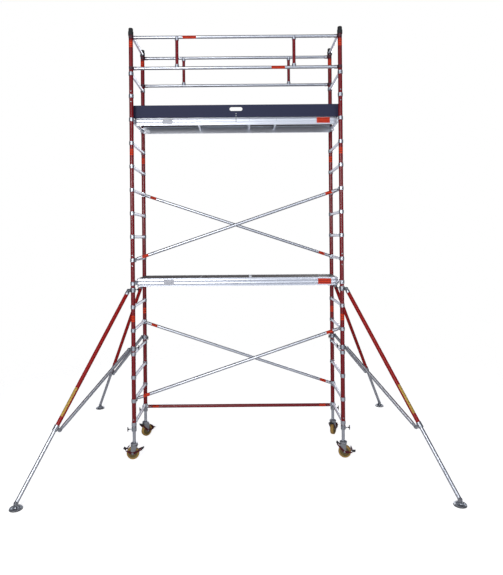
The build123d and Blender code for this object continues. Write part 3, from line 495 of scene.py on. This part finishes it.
def make_finishes(s):
    """One material for each of the record's slots, and the printed films."""
    alu = s.aluminium
    coated("red_fibreglass", s.red, 0.34, 900.0, 0.04, (1, 1, 0.02), 0.04,
           Specular_IOR_Level=0.3)
    coated("leg_fibreglass", s.red, 0.34, 900.0, 0.03, worn=0.04, Specular_IOR_Level=0.3)
    metal("aluminium_tube", alu, 0.26, 700.0, 0.02)
    metal("rung_aluminium", alu, 0.27, 900.0, 0.02, (1, 0.03, 1))
    metal("aluminium_extrusion", shade(alu, 0.90), 0.28, 900.0, 0.02, (0.02, 1, 1))
    metal("cast_aluminium", shade(alu, 0.80), 0.42, 420.0, 0.12)
    metal("weld_metal", shade(alu, 0.85), 0.34, 500.0, 0.08)
    metal("dark_cast", (0.16, 0.12, 0.12), 0.48, 500.0, 0.12)
    metal("zinc_steel", (0.62, 0.62, 0.60), 0.33, 260.0, 0.03)
    coated("black_plastic", (0.018, 0.018, 0.020), 0.42, 1400.0, 0.06)
    coated("brake_red", s.brake, 0.36, 500.0, 0.05, worn=0.35)
    coated("wheel_polyurethane", s.tyre, 0.42, 500.0, 0.05, worn=0.3)
    coated("wheel_hub", (0.27, 0.20, 0.075), 0.5, 800.0, 0.05)
    coated("foot_rubber", (0.045, 0.045, 0.050), 0.62, 900.0, 0.10, worn=0.45)
    ply_board("deck_plywood", s.deck, (0.36, 0.22, 0.11), 190.0, 0.5, 0.55)
    ply_board("navy_board", s.navy, (0.014, 0.017, 0.062), None, 0.12, 0.42)
    decal("orange_film", s.orange, (0.30, 0.012, 0.006), 12.0)
    decal("yellow_film", s.yellow, (0.20, 0.14, 0.05), 24.0)
    decal("white_film", (0.80, 0.80, 0.82), (0.25, 0.25, 0.28), 90.0)


def apply_finishes():
    """Give every CAD node the material of its record slot."""
    for part in frame["record"]["subparts"]:
        mesh = frame["nodes"][part["node"]].data
        mesh.materials.clear()
        mesh.materials.append(bpy.data.materials[part["material_slot"]])


# ---- End frames ----

def rung_places():
    """(x, z) of every rung, and the middle of every plain collar."""
    rungs = []
    collars = []
    for low, high in solid_boxes("frame_rungs"):
        middle = (low + high) / 2
        if high.y - low.y > HALF_FRAME:
            rungs.append((round(middle.x / HALF_BAY) * HALF_BAY, middle.z))
            for y in (-HALF_FRAME, HALF_FRAME):
                collars.append(Vector((rungs[-1][0], y, middle.z)))
        else:
            collars.append(middle)
    return rungs, collars


def fluted_rung(shape, x, z, depth):
    """Grip-fluted tube whose ends follow the collars; depth in metres."""
    seat = (UPRIGHT_R + COLLAR_R) / 2 * MM
    flutes = 16
    points = []
    for i in range(flutes * 5):
        a = 2 * pi * i / (flutes * 5)
        r = TUBE_R * MM - depth * (0.5 - 0.5 * cos(flutes * a)) ** 2
        points.append((r * sin(a), r * cos(a)))
    shape.skin([shape.ring([
        (x + u, side * (HALF_FRAME - sqrt(seat ** 2 - u ** 2)), z + w) for u, w in points])
        for side in (-1, 1)])


def rung_weld(shape, x, y, z, bead):
    """Rippled bead round the foot of a rung; bead is its radius in metres."""
    side = -1 if y > 0 else 1
    steps = 72
    path = []
    for i in range(steps):
        a = 2 * pi * i / steps
        u = (TUBE_R * MM + bead * 0.4) * sin(a)
        w = (TUBE_R * MM + bead * 0.4) * cos(a)
        seat = sqrt((COLLAR_R * MM) ** 2 - u ** 2)
        path.append(Vector((x + u, y + side * (seat + bead * 0.2), z + w)))
    shape.bead(path, lambda i: bead * (0.94 + 0.12 * sin(i * pi / 2)))


def collar_profile(half):
    """Section of a rung collar, with a swaged groove near each end."""
    out = COLLAR_R
    lip = 1.6
    groove = out - 0.9
    return mirrored([(UPRIGHT_R + 0.1, half), (out - lip, half), (out, half - lip),
                     (out, half - 5), (groove, half - 6), (groove, half - 8), (out, half - 9)])


def build_rungs(s):
    tubes, welds, rings = Shape(), Shape(), Shape()
    rungs, collars = rung_places()
    for x, z in rungs:
        fluted_rung(tubes, x, z, s.flute_depth)
        for y in (-HALF_FRAME, HALF_FRAME):
            rung_weld(welds, x, y, z, s.weld_radius)
    for centre in collars:
        rings.revolve(collar_profile(22), Matrix.Translation(centre), 48, loop=True)
    for shape, name, finish in ((tubes, "fluted_rungs", "rung_aluminium"),
                                (rings, "rung_collars", None),
                                (welds, "rung_welds", "weld_metal")):
        shape.piece(name, "tower", "aluminium_tube", ["frame_rungs"], finish=finish)


# ---- Screws, leg locks and castors ----

def t_handle(shape, place, grip):
    """Threaded screw along local X with a T-bar across its end."""
    reach_out = 40
    pitch = 2.0
    root = -6
    profile = [(0, root)]
    for i in range(int(reach_out / pitch) + 2):
        profile += [(5.0, root + i * pitch), (4.3, root + (i + 0.5) * pitch)]
    profile.append((0, reach_out))
    shape.revolve(profile, turned(place, 90, "Y"), 16)
    bar = moved(place, reach_out, 0, 0)
    end = 28
    r = 6.0
    waist = r * 0.92
    grip.revolve([(0, -end), (r * 0.7, 1 - end), (r, 3 - end), (waist, -end * 0.5), (r, -9),
                  (r * 1.05, 0), (r, 9), (waist, end * 0.5), (r, end - 3), (r * 0.7, end - 1),
                  (0, end)], bar, 20)
    grip.revolve([(0, -17), (7.5, -17), (8.5, -15), (9.5, 3), (8.5, 5), (0, 5.6)],
                 turned(bar, 90, "Y"), 20)


def build_leg_locks():
    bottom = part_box("leg_lock_collars")[0].z / MM
    top = bottom + 52
    screw_z = top - 30
    bore = 19.1
    cast, screws, grips = Shape(), Shape(), Shape()
    for name in CORNERS:
        base = on_floor("castor_swivel_" + name)
        out = Vector((1 if base.x > 0 else -1, 0, 0))
        foot = Matrix.Translation(base)
        cast.revolve([(bore, bottom), (27, bottom), (29, bottom + 2), (29, bottom + 9),
                      (27, bottom + 11), (27, top - 12), (29.5, top - 10), (30, top - 2),
                      (28.5, top), (bore, top)], foot, 40, loop=True)
        for i in range(8):
            cast.block((26, -1.6, bottom + 9), (29, 1.6, top - 10), turned(foot, 22.5 + 45 * i))
        screw = base + UP * screw_z * MM
        cast.revolve([(0, 24), (11, 24), (11, 34.5), (9.8, 36), (0, 36)],
                     placed(screw, out, UP), 28)
        t_handle(screws, placed(screw + out * 36 * MM, UP, out), grips)
    cast.piece("leg_lock_castings", "tower", "cast_aluminium", ["leg_lock_collars"], 0.5)
    screws.piece("leg_lock_screws", "tower", "zinc_steel", ["leg_lock_collars"])
    grips.piece("leg_lock_grips", "tower", "black_plastic", ["leg_lock_collars"])


def wheel_plane(name):
    """Matrix on the wheel's centre: X away from the castor's trail, Y up, Z along the axle."""
    spin = "wheel_spin_" + name
    ahead = (on_floor("castor_swivel_" + name) - on_floor(spin)).normalized()
    return placed(anchor(spin), ahead.cross(UP), ahead)


def build_wheel(name):
    body = "castor_wheel_" + name
    place = wheel_plane(name)
    tyre, hub, caps = Shape(), Shape(), Shape()
    tyre.revolve(mirrored([(RIM_R, 19.5), (60, 21), (62, 20.4), (66, 22.5), (70, 21.6),
                           (73, 18.5), (74.6, 13), (WHEEL_R, 6)]), place, 96, loop=True)
    rim = 20
    boss = 25
    hub.revolve(mirrored([(6.3, boss), (16, boss), (19, 22), (19.5, 8), (46, 6),
                          (50, rim - 2), (51.5, rim), (RIM_R, rim)]), place, 64, loop=True)
    for face in (1, -1):
        rib = [(18, 0), (49, 0), (50, face * (rim - 3)), (18.5, face * 20)]
        for i in range(8):
            hub.prism(rib, -1.8, 1.8, turned(turned(place, 45 * i + 10), 90, "X"))
        cap = place if face > 0 else turned(place, 180, "X")
        caps.revolve([(6.2, boss - 1), (13, boss - 1), (13, boss + 0.4), (10, boss + 0.9),
                      (6.2, boss + 0.9)], cap, 32, loop=True)
    tyre.piece("castor_tyre_" + name, body, "wheel_polyurethane", [body])
    hub.piece("castor_hub_" + name, body, "wheel_polyurethane", [body], 0.6, finish="wheel_hub")
    caps.piece("castor_bearing_caps_" + name, body, "zinc_steel", [body])


def build_fork(name):
    """Pressed cheeks, swivel race and axle bolt of one castor."""
    body = "castor_fork_" + name
    place = wheel_plane(name)
    steel, bolt = Shape(), Shape()
    crown = FORK_TOP - WHEEL_R
    outline = hull(circle((0, 0), 19)
                   + [(TRAIL - 36, crown - 8), (TRAIL + 40, crown - 8),
                      (TRAIL - 34, crown - 1), (TRAIL + 38, crown - 1)])
    rib = hull(circle((0, 0), 11) + circle((TRAIL + 6, crown - 24), 7))
    steel.pair(outline, CHEEK_IN, CHEEK_OUT, place)
    steel.pair(rib, CHEEK_OUT, CHEEK_OUT + 0.3, place)
    steel.block((TRAIL - 38, crown - 6, -CHEEK_OUT), (TRAIL + 42, crown, CHEEK_OUT), place)
    race = [(9.3, -1), (41, -1), (41, 3.6), (38, 4.6), (38, 6.2), (40.5, 7.2), (40.5, 10.6),
            (9.3, 10.6)]
    steel.revolve([(r, FORK_TOP + h) for r, h in race],
                  Matrix.Translation(on_floor("castor_swivel_" + name)), 56, loop=True)
    steel.piece("castor_cheeks_" + name, body, "zinc_steel", [body], 0.9)
    bolt.pin(6, CHEEK_OUT + 4, place, 24)
    for face in (place, turned(place, 180, "X")):
        bolt.bolt(moved(face, 0, 0, CHEEK_OUT + 3.8), 9.5, 7, 1.4)
    bolt.piece("castor_axle_bolt_" + name, body, "zinc_steel", [body], 0.3)


def build_brake(name):
    """Rocker of one castor: side plates, band with its tread pad, and release pad."""
    body = "brake_pedal_" + name
    place = turned(wheel_plane(name), -JOINTS["brake_" + name]["range_deg"][0])
    inner = CHEEK_OUT + 0.45
    outer = inner + 3
    plates, red, pads = Shape(), Shape(), Shape()
    for angle, far, root, tip, play in ((156, BAND_R - 5, 17, 7, 0), (24, 120, 14, 8, 0.05)):
        end = (far * cos(radians(angle)), far * sin(radians(angle)))
        plates.pair(hull(circle((0, 0), root) + circle(end, tip)), inner + play, outer - play,
                    place)
    plates.piece("brake_plates_" + name, body, "brake_red", [body], 0.6)
    red.prism(band(BAND_R, 3, 118, 160, 24), -outer, outer, place)
    for i in range(5):
        start = 122 + 7 * i
        red.prism(band(BAND_R + 3, 1.2, start, start + 2.5, 2), 5 - outer, outer - 5, place)
    red.piece("brake_rocker_" + name, body, "brake_red", [body], 0.6)
    tread = turned(place, 152)
    root = BAND_R + 1
    pads.block((root, -2.5, 4 - outer), (root + 38, 2.5, outer - 4), tread)
    for i in range(6):
        at = root + 8 + 5 * i
        pads.block((at, -4, 6 - outer), (at + 2, 4, outer - 6), tread)
    release = turned(place, 24)
    pads.block((117.5, -4.5, -outer), (126.5, 4.5, outer), release)
    pads.block((115, -2, 5 - outer), (141, 9, outer - 5), release)
    for i in range(4):
        at = 118 + 6 * i
        pads.block((at, 8.5, 8 - outer), (at + 2.5, 10, outer - 8), release)
    pads.piece("brake_pads_" + name, body, "black_plastic", [body], 0.8)


# ---- Outriggers ----

def outward(name):
    """Level direction from an upright to its outrigger's foot."""
    return (on_floor("outrigger_fold_" + name) - on_floor("outrigger_swing_" + name)).normalized()


def pin_bolt(shape, centre, way, half):
    """Bolt across a lug: shank, head and nut."""
    place = placed(centre, way, UP)
    shape.pin(6, half, place)
    for face in (place, turned(place, 180, "X")):
        shape.bolt(moved(face, 0, 0, half), 8.6, 5)


def build_clamp(name, body, pivot, gap):
    """Flanged sleeve round the upright, lugs with a bolt, and a T-screw."""
    out = outward(name)
    side = UP.cross(out)
    base = on_floor("outrigger_swing_" + name) + UP * pivot.z
    half = 27
    bore = UPRIGHT_R + 0.1
    wall = UPRIGHT_R + 7.6
    flange = wall - 1.6
    cast, steel, grip = Shape(), Shape(), Shape()
    cast.revolve([(bore, -half), (wall - 1, -half), (wall, 1 - half), (wall, 8 - half),
                  (flange, 10 - half), (flange, half - 10), (wall, half - 8), (wall, half - 1),
                  (wall - 1, half), (bore, half)], Matrix.Translation(base), 48, loop=True)
    start = wall - 6
    cast.pair(tab(PIVOT_R - start, 17), gap / 2, gap / 2 + 7,
              placed(base + out * start * MM, side, out))
    cast.revolve([(0, bore + 2), (11, bore + 2), (11, wall + 4.6), (9.8, wall + 6),
                  (0, wall + 6)], placed(base, -out, UP), 28)
    cast.piece("clamp_casting_" + body, body, "cast_aluminium", [body], 0.8)
    pin_bolt(steel, pivot, side, gap / 2 + 7)
    t_handle(steel, placed(base - out * (wall + 6) * MM, UP, -out), grip)
    steel.piece("clamp_bolts_" + body, body, "zinc_steel", [body])
    grip.piece("clamp_grip_" + body, body, "black_plastic", [body])


def build_outrigger_tube(name):
    """Red tube, its knuckle, and the collar with lugs for the strut."""
    body = "outrigger_tube_" + name
    pivot = anchor("outrigger_fold_" + name)
    down = -axis("outrigger_extend_" + name)
    side = UP.cross(outward(name))
    inward = down.cross(side)
    if inward.z > 0:
        inward = -inward
    end = tube_end(name)
    along = placed(pivot, down, side)
    red, cast, steel, label = Shape(), Shape(), Shape(), Shape()
    bore = 19.6
    red.revolve([(bore, 34), (RED_TUBE_R, 34), (RED_TUBE_R, end - 0.5), (bore, end - 0.5)],
                along, 40, loop=True)
    red.piece("outrigger_red_tube_" + name, body, "red_fibreglass", [body],
              finish="leg_fibreglass")
    cast.prism(hull(circle((0, 0), 20) + [(26, 18), (26, -18)]), -10, 10,
               placed(pivot, side, down))
    cast.revolve([(0, 25), (20, 25), (23.6, 27), (23.6, 58), (22.3, 60), (0, 60)], along, 40)
    start = end - 60
    cast.revolve([(22.3, start), (27, start), (28, start + 1), (28, start + 12),
                  (26.4, start + 14), (26.4, start + 46), (28, start + 48), (28, end - 1),
                  (27, end), (19.3, end), (19.3, end - 0.4), (22.3, end - 0.4)],
                 along, 44, loop=True)
    middle = pivot + down * (end - 30) * MM
    cast.pair(tab(EAR - 24, 16), 7, 14, placed(middle + inward * 24 * MM, side, inward))
    cast.piece("outrigger_knuckles_" + name, body, "cast_aluminium", [body], 0.7)
    pin_bolt(steel, middle + inward * EAR * MM, side, 14)
    for way in (-side, side):
        steel.rivet(placed(pivot + (down * 45 + way * 23.4) * MM, way, down), 4, 2)
    steel.piece("outrigger_tube_bolts_" + name, body, "zinc_steel", [body])
    front = side if side.y < 0 else -side
    label.sticker(pivot + down * end * 0.72 * MM, down, (front * 0.55 - inward).normalized(),
                  RED_TUBE_R, end * 0.19, 80, 0.25)
    label.piece("outrigger_label_" + name, body, "wheel_polyurethane", finish="yellow_film")


def build_foot(name):
    """Thin rubber sole under a webbed cast shoe with the ankle's lugs and bolt."""
    body = "outrigger_foot_" + name
    ankle = anchor("foot_tilt_" + name)
    side = UP.cross(outward(name))
    base = on_floor("foot_tilt_" + name)
    place = placed(base, UP, outward(name))
    pad, shoe, steel = Shape(), Shape(), Shape()
    pad.revolve([(0, 0), (60, 0), (62, 1.5), (PAD_R, 4), (PAD_R, 7), (62.5, 9), (0, 9)],
                place, 64)
    for i in range(24):
        pad.block((61, -2.5, 1.5), (PAD_R + 0.6, 2.5, 7), turned(place, 15 * i))
    pad.piece("foot_pad_" + name, body, "foot_rubber", [body], 0.6)
    shoe.revolve([(0, 9), (61, 9), (62, 10), (62, 13.5), (61, 14.5), (34, 17), (28, 21),
                  (25, 28), (24, 29), (0, 29)], place, 64)
    for i in range(8):
        web = turned(turned(place, 22.5 + 45 * i), 90, "X")
        shoe.prism([(20, 12), (60, 12), (59, 17), (28, 34), (20, 36)], -2.5, 2.5, web)
    lug = 28
    shoe.pair(tab(ankle.z / MM - lug, 17), 10.4, 16.4, placed(base + UP * lug * MM, side, UP))
    shoe.piece("foot_shoe_" + name, body, "cast_aluminium", [body], 0.6)
    pin_bolt(steel, ankle, side, 16.4)
    steel.piece("foot_bolt_" + name, body, "zinc_steel", [body])


def build_pin_hole_shade(name):
    """Painted shade for the pin holes of the telescopic leg below the red tube: three thin dark patches each stand
    in for the shade inside a hole.
    """
    ankle = anchor("foot_tilt_" + name)
    down = -axis("outrigger_extend_" + name)
    side = UP.cross(outward(name))
    pivot = anchor("outrigger_fold_" + name)
    bare = (ankle - pivot).dot(down) / MM - tube_end(name)
    pitch = 100
    hole_shade = Shape()
    for i in range(int((bare - 60) / pitch)):
        at = ankle - down * (50 + pitch * i) * MM
        for face in (-1, 1):
            for start, tall, wrap in ((-4, 2, 12), (-2, 4, 22), (2, 2, 12)):
                # Each dark patch is painted shade where a pin hole is, not an opening.
                hole_shade.sticker(at + down * start * MM, down, side * face, 19, tall, wrap, 0.02)
    hole_shade.piece("leg_pin_hole_shade_" + name, "outrigger_leg_" + name, "black_plastic")


# ---- Braces and guardrails ----

def brace_ends():
    """(end, other end) of every brace, worked out from the hooks' claws."""
    claws = [box for box in solid_boxes("brace_hooks") if (box[1] - box[0]).z > 30 * MM]
    rungs = [z for _, z in rung_places()[0]]
    claw_reach = 28.85 * MM
    ends = []
    for low, high in claws:
        x = (high.x - claw_reach) if low.x + high.x > 0 else (low.x + claw_reach)
        z = min(rungs, key=lambda r: abs(r - (low.z + high.z) / 2))
        ends.append(Vector((x, (low.y + high.y) / 2, z)))
    ends.sort(key=lambda e: (round(e.y, 2), round(e.z, 2)))
    pairs = []
    for a, b in zip(ends[::2], ends[1::2]):
        pairs += [(a, b), (b, a)]
    return pairs


def build_brace_details(s):
    """Stickers near both ends of the braces, and their hooks' rivets."""
    films, steel = Shape(), Shape()
    for end, other in brace_ends():
        way = (other - end).normalized()
        radius = LEVEL_BRACE_R if abs(way.z) < 0.01 else TUBE_R
        facing = FRONT - way * FRONT.dot(way)
        films.sticker(end + way * 0.11, way, facing, radius, s.sticker_length / MM, 170,
                      s.film / MM)
        for at in (66, 84):
            for out in (-FRONT, FRONT):
                head = end + (way * at + out * (radius - 0.3)) * MM
                steel.rivet(placed(head, out, way), 3.6, 2.0)
    films.piece("brace_stickers", "tower", "brake_red", finish="orange_film")
    steel.piece("brace_rivets", "tower", "zinc_steel")


def build_stickers(s):
    """Plain bands on the uprights and on the front guardrails."""
    films = Shape()
    low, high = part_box("frame_uprights")
    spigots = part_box("joint_spigots")
    first = low.z + 1.25
    stage = spigots[1].z - spigots[0].z - 0.26
    for name in CORNERS:
        for z in (first, first + stage + 0.03, high.z - 0.225):
            films.sticker(on_floor("castor_swivel_" + name) + UP * z, UP, FRONT, UPRIGHT_R,
                          s.sticker_length / MM, 170, s.film / MM)
    rails = sorted({round((b[0].z + b[1].z) / 2, 3) for b in solid_boxes("guardrail_clips")})
    for z, at in ((rails[-1], -0.63), (rails[0], 0.43)):
        films.sticker(Vector((at, -HALF_FRAME, z)), Vector((1, 0, 0)), FRONT, TUBE_R, 160, 150,
                      s.film / MM)
    films.piece("tube_stickers", "tower", "brake_red", finish="orange_film")


def build_cap_sleeves():
    """Black sleeve of each end cap, over the top rung's collar."""
    sleeves = Shape()
    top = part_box("upright_end_caps")[1].z / MM
    low = max(z for _, z in rung_places()[0]) / MM - 24
    neck = low + 49
    inner = UPRIGHT_R + 0.1
    wide = COLLAR_R + 1.4
    for name in CORNERS:
        place = Matrix.Translation(on_floor("castor_swivel_" + name))
        sleeves.revolve([(inner, low), (wide - 1, low), (wide, low + 1), (wide, neck - 3),
                         (wide - 1.5, neck), (inner + 2, neck), (inner + 1.6, top - 8),
                         (inner + 0.9, top - 6), (inner, top - 5.6)], place, 40, loop=True)
        for i in range(12):
            sleeves.block((wide - 1, -1.2, low + 4), (wide + 0.6, 1.2, neck - 5),
                          turned(place, 30 * i))
    sleeves.piece("end_cap_sleeves", "tower", "black_plastic", bevel=0.4)


def build_clip_levers():
    """Dark red lever and its pin on the back of each guardrail clip."""
    levers, pins = Shape(), Shape()
    outline = hull(circle((0, 0), 9) + circle((30, 0), 5.5))
    for low, high in solid_boxes("guardrail_clips"):
        inward = Vector((-1 if low.x + high.x > 0 else 1, 0, 0))
        hub = Vector((-inward.x * HALF_BAY, (low.y + high.y) / 2, (low.z + high.z) / 2))
        for way in (-UP, UP):
            place = placed(hub + (inward * 36 + way * 17.2) * MM, way, inward)
            levers.prism(outline, 0, 3, place)
            pins.rivet(moved(place, 0, 0, 3), 4, 2)
    levers.piece("clip_levers", "tower", "brake_red", bevel=0.6)
    pins.piece("clip_pins", "tower", "zinc_steel")


# ---- Platforms ----

RAIL_WIDE = 22.0


def rail_section():
    """Outline of a side rail: u outward from its inner face, v up from its lower edge."""
    wide = RAIL_WIDE
    tall = 98
    web = wide - 1.5
    line = web + 0.6
    lip = -14
    seat = tall - 13
    return [(0, 0), (wide, 0), (wide, 11), (web, 12.5), (web, 30), (line, 31), (web, 32),
            (web, 66), (line, 67), (web, 68), (web, seat), (wide, seat + 1.5),
            (wide, tall - 1), (wide - 1, tall), (1, tall), (0, tall - 1), (0, seat),
            (lip, seat), (lip, seat - 3), (0, seat - 3)]


def frame_boxes():
    """Boxes of the platforms' rail frames and of their cross beams, in millimetres."""
    boxes = [(low / MM, high / MM) for low, high in solid_boxes("platform_frames")]
    rails = [box for box in boxes if box[1].x - box[0].x > 1000]
    return rails, [box for box in boxes if box[1].x - box[0].x <= 1000]


def build_platform_frames():
    rails, beams, screws = Shape(), Shape(), Shape()
    for low, high in frame_boxes()[0]:
        for side in (-1, 1):
            inner = side * (high.y - RAIL_WIDE) * MM
            place = Matrix(((0, 0, side, 0), (side, 0, 0, inner), (0, 1, 0, low.z * MM),
                            (0, 0, 0, 1)))
            rails.prism(rail_section(), -high.x, high.x, place)
    for low, high in frame_boxes()[1]:
        beams.block(low, high)
        for out in (FRONT, -FRONT):
            for up in (12, 30):
                at = Vector(((low.x + high.x) / 2, out.y * (high.y + 20.3), low.z + up))
                screws.rivet(placed(at * MM, out, UP), 4.5, 1.6)
    rails.piece("platform_rails", "tower", "aluminium_extrusion", ["platform_frames"])
    beams.piece("platform_beams", "tower", "aluminium_extrusion", ["platform_frames"], 2)
    screws.piece("platform_rail_rivets", "tower", "zinc_steel")


def build_deck_rivets():
    """Countersunk rivets that hold the decks to the cross beams."""
    heads = Shape()
    tops = sorted({round(high.z, 4) for _, high in solid_boxes("platform_decks")})
    beams = {round((low.x + high.x) / 2 * MM, 4) for low, high in frame_boxes()[1]}
    rows = (-0.19, -0.095, 0, 0.095, 0.19)
    for top in tops:
        for x in beams:
            for y in rows:
                heads.revolve([(0, 0), (6, 0), (6, 0.5), (5, 0.8), (1.6, 0.7), (0, 0.3)],
                              Matrix.Translation((x, y, top - 0.2 * MM)), 16)
    heads.piece("deck_rivets", "tower", "zinc_steel")


def build_platform_labels():
    """Plain labels on the outer face of each platform's side rails."""
    loads, ends = Shape(), Shape()
    for low, high in frame_boxes()[0]:
        for side in (-1, 1):
            face = side * (high.y - 1.5)
            near, far = sorted((face, face + side * 0.9))
            for shape, start, wide in ((loads, -900, 130), (ends, 980, 160)):
                start = start if side < 0 else -start - wide
                shape.block((start, near, low.z + 15), (start + wide, far, high.z - 16))
    loads.piece("load_labels", "tower", "aluminium_extrusion", finish="white_film")
    ends.piece("platform_end_labels", "tower", "brake_red", finish="orange_film")


# ---- Studio ----

def build_floor():
    """Pale floor that fades into the background away from the tower."""
    bm = bmesh.new()
    bmesh.ops.create_circle(bm, cap_ends=True, segments=96, radius=14.0)
    mesh = bpy.data.meshes.new("studio_floor")
    bm.to_mesh(mesh)
    bm.free()
    floor = bpy.data.objects.new("studio_floor", mesh)
    bpy.context.scene.collection.objects.link(floor)
    mat, shader = blank("studio_floor")
    mat.node_tree.nodes.remove(shader)
    where = position(mat)
    away = node(mat, "VectorMath", {0: where}, operation="LENGTH").outputs["Value"]
    away = node(mat, "MapRange", {"Value": away, "From Min": 2.4, "From Max": 6.5},
                interpolation_type="SMOOTHSTEP").outputs["Result"]
    pale = node(mat, "BsdfDiffuse", {"Color": (0.93, 0.93, 0.94, 1)})
    clear = node(mat, "BsdfTransparent")
    seen = node(mat, "LightPath").outputs["Is Camera Ray"]
    seen = spread(mat, seen, 0.0, 0.80, 0.0, 1.0)
    glow = node(mat, "Emission", {"Color": (1, 1, 1, 1), "Strength": seen})
    pale = node(mat, "AddShader", {0: pale.outputs[0], 1: glow.outputs[0]})
    both = node(mat, "MixShader", {0: away, 1: pale.outputs[0], 2: clear.outputs[0]})
    out = mat.node_tree.nodes["Material Output"]
    mat.node_tree.links.new(both.outputs[0], out.inputs["Surface"])
    mesh.materials.append(mat)


def build_world():
    """White to the eye, and darker behind and to the sides in reflections."""
    world = bpy.data.worlds.new("studio")
    bpy.context.scene.world = world
    world.use_nodes = True
    tree = world.node_tree
    back = tree.nodes["Background"]
    where = node(world, "TexCoord").outputs["Generated"]
    parts = node(world, "SeparateXYZ", {"Vector": where})
    tone = ramp(world, spread(world, parts.outputs["Y"], 0.0, 1.0, -1.0, 1.0),
                (0.03, (0.56, 0.61, 0.74)), (0.10, (0.32, 0.35, 0.43)),
                (0.24, (0.03, 0.03, 0.04)), (0.78, (0.04, 0.04, 0.05)),
                (0.92, (0.22, 0.23, 0.27)), (0.975, (0.86, 0.88, 0.95)))
    seen = node(world, "LightPath").outputs["Is Camera Ray"]
    tree.links.new(mix(world, seen, tone, (1.0, 1.0, 1.0)), back.inputs["Color"])
    back.inputs["Strength"].default_value = 1.0


def soft_light(name, at, aim, size, power):
    data = bpy.data.lights.new(name, "AREA")
    data.shape = "RECTANGLE"
    data.size, data.size_y = size
    data.energy = power
    lamp = bpy.data.objects.new(name, data)
    lamp.location = at
    lamp.rotation_euler = (Vector(aim) - Vector(at)).to_track_quat("-Z", "Y").to_euler()
    bpy.context.scene.collection.objects.link(lamp)


def build_camera(s):
    data = bpy.data.cameras.new("camera")
    data.sensor_fit = "VERTICAL"
    data.sensor_height = 36.0
    data.lens = s.lens
    data.shift_x = 0.015
    data.shift_y = -0.086
    data.clip_end = 60.0
    camera = bpy.data.objects.new("camera", data)
    camera.location = (s.aside, -HALF_FRAME - s.distance, s.height)
    camera.rotation_euler = (pi / 2, s.roll, 0)
    bpy.context.scene.collection.objects.link(camera)
    bpy.context.scene.camera = camera


# ---- Operators ----

class TOWER_OT_stage(bpy.types.Operator):
    """Pale floor, soft lights, world and camera"""
    bl_idname = "tower.stage"
    bl_label = "Stage"

    def execute(self, context):
        middle = (0, 0, 2.4)
        build_floor()
        build_world()
        for lamp in (("key", (-2.6, -9.5, 4.2), middle, (2.6, 3.0), 300),
                     ("fill", (4.2, -9.0, 2.6), middle, (1.2, 3.4), 60),
                     ("top", (0.0, -7.0, 9.5), middle, (4.0, 3.0), 60),
                     ("back", (3.6, 8.5, 5.0), middle, (2.6, 3.0), 110)):
            soft_light(*lamp)
        build_camera(context.scene.tower_stage)
        context.scene.view_settings.view_transform = "Standard"
        return {"FINISHED"}


class TOWER_OT_finishes(bpy.types.Operator):
    """Materials for every slot, put on the CAD nodes"""
    bl_idname = "tower.finishes"
    bl_label = "Finishes"

    def execute(self, context):
        make_finishes(context.scene.tower_finish)
        apply_finishes()
        return {"FINISHED"}


class TOWER_OT_rungs(bpy.types.Operator):
    """Fluted rungs, their collars and welds"""
    bl_idname = "tower.rungs"
    bl_label = "Rungs"

    def execute(self, context):
        build_rungs(context.scene.tower_fitting)
        return {"FINISHED"}


class TOWER_OT_castors(bpy.types.Operator):
    """Leg locks, forks, wheels and brakes"""
    bl_idname = "tower.castors"
    bl_label = "Castors"

    def execute(self, context):
        build_leg_locks()
        for name in CORNERS:
            build_wheel(name)
            build_fork(name)
            build_brake(name)
        return {"FINISHED"}


class TOWER_OT_outriggers(bpy.types.Operator):
    """Clamps, tubes and feet of the outriggers"""
    bl_idname = "tower.outriggers"
    bl_label = "Outriggers"

    def execute(self, context):
        for name in CORNERS:
            build_clamp(name, "outrigger_clamp_" + name, anchor("outrigger_fold_" + name), 20.8)
            build_clamp(name, "outrigger_lower_clamp_" + name, anchor("strut_hinge_" + name),
                        12.8)
            build_outrigger_tube(name)
            build_pin_hole_shade(name)
            build_foot(name)
        return {"FINISHED"}


class TOWER_OT_braces(bpy.types.Operator):
    """Brace details, guardrail levers and stickers"""
    bl_idname = "tower.braces"
    bl_label = "Braces and stickers"

    def execute(self, context):
        build_brace_details(context.scene.tower_fitting)
        build_stickers(context.scene.tower_fitting)
        build_clip_levers()
        build_cap_sleeves()
        return {"FINISHED"}


class TOWER_OT_platforms(bpy.types.Operator):
    """Side rails, beams and deck rivets"""
    bl_idname = "tower.platforms"
    bl_label = "Platforms"

    def execute(self, context):
        build_platform_frames()
        build_deck_rivets()
        build_platform_labels()
        return {"FINISHED"}


STEPS = (TOWER_OT_stage, TOWER_OT_finishes, TOWER_OT_rungs, TOWER_OT_castors,
         TOWER_OT_outriggers, TOWER_OT_braces, TOWER_OT_platforms)


class TOWER_PT_panel(bpy.types.Panel):
    """Sidebar panel that lists the tower's operators"""
    bl_idname = "TOWER_PT_panel"
    bl_label = "Scaffold tower"
    bl_space_type = "VIEW_3D"
    bl_region_type = "UI"
    bl_category = "Tower"

    def draw(self, context):
        for step in STEPS:
            self.layout.operator(step.bl_idname)
        for name in GROUPS:
            group = getattr(context.scene, name)
            for key in group.bl_rna.properties.keys():
                if key not in ("rna_type", "name"):
                    self.layout.prop(group, key)


GROUPS = {"tower_finish": FinishSettings, "tower_fitting": FittingSettings,
          "tower_stage": StageSettings}
CLASSES = (*GROUPS.values(), *STEPS, TOWER_PT_panel)


def register():
    for item in CLASSES:
        bpy.utils.register_class(item)
    for name, group in GROUPS.items():
        setattr(bpy.types.Scene, name, PointerProperty(type=group))


def unregister():
    for name in GROUPS:
        delattr(bpy.types.Scene, name)
    for item in reversed(CLASSES):
        bpy.utils.unregister_class(item)


def main():
    register()
    bpy.ops.tower.stage()
    bpy.ops.tower.finishes()
    bpy.ops.tower.rungs()
    bpy.ops.tower.castors()
    bpy.ops.tower.outriggers()
    bpy.ops.tower.braces()
    bpy.ops.tower.platforms()


if __name__ == "__main__":
    main()
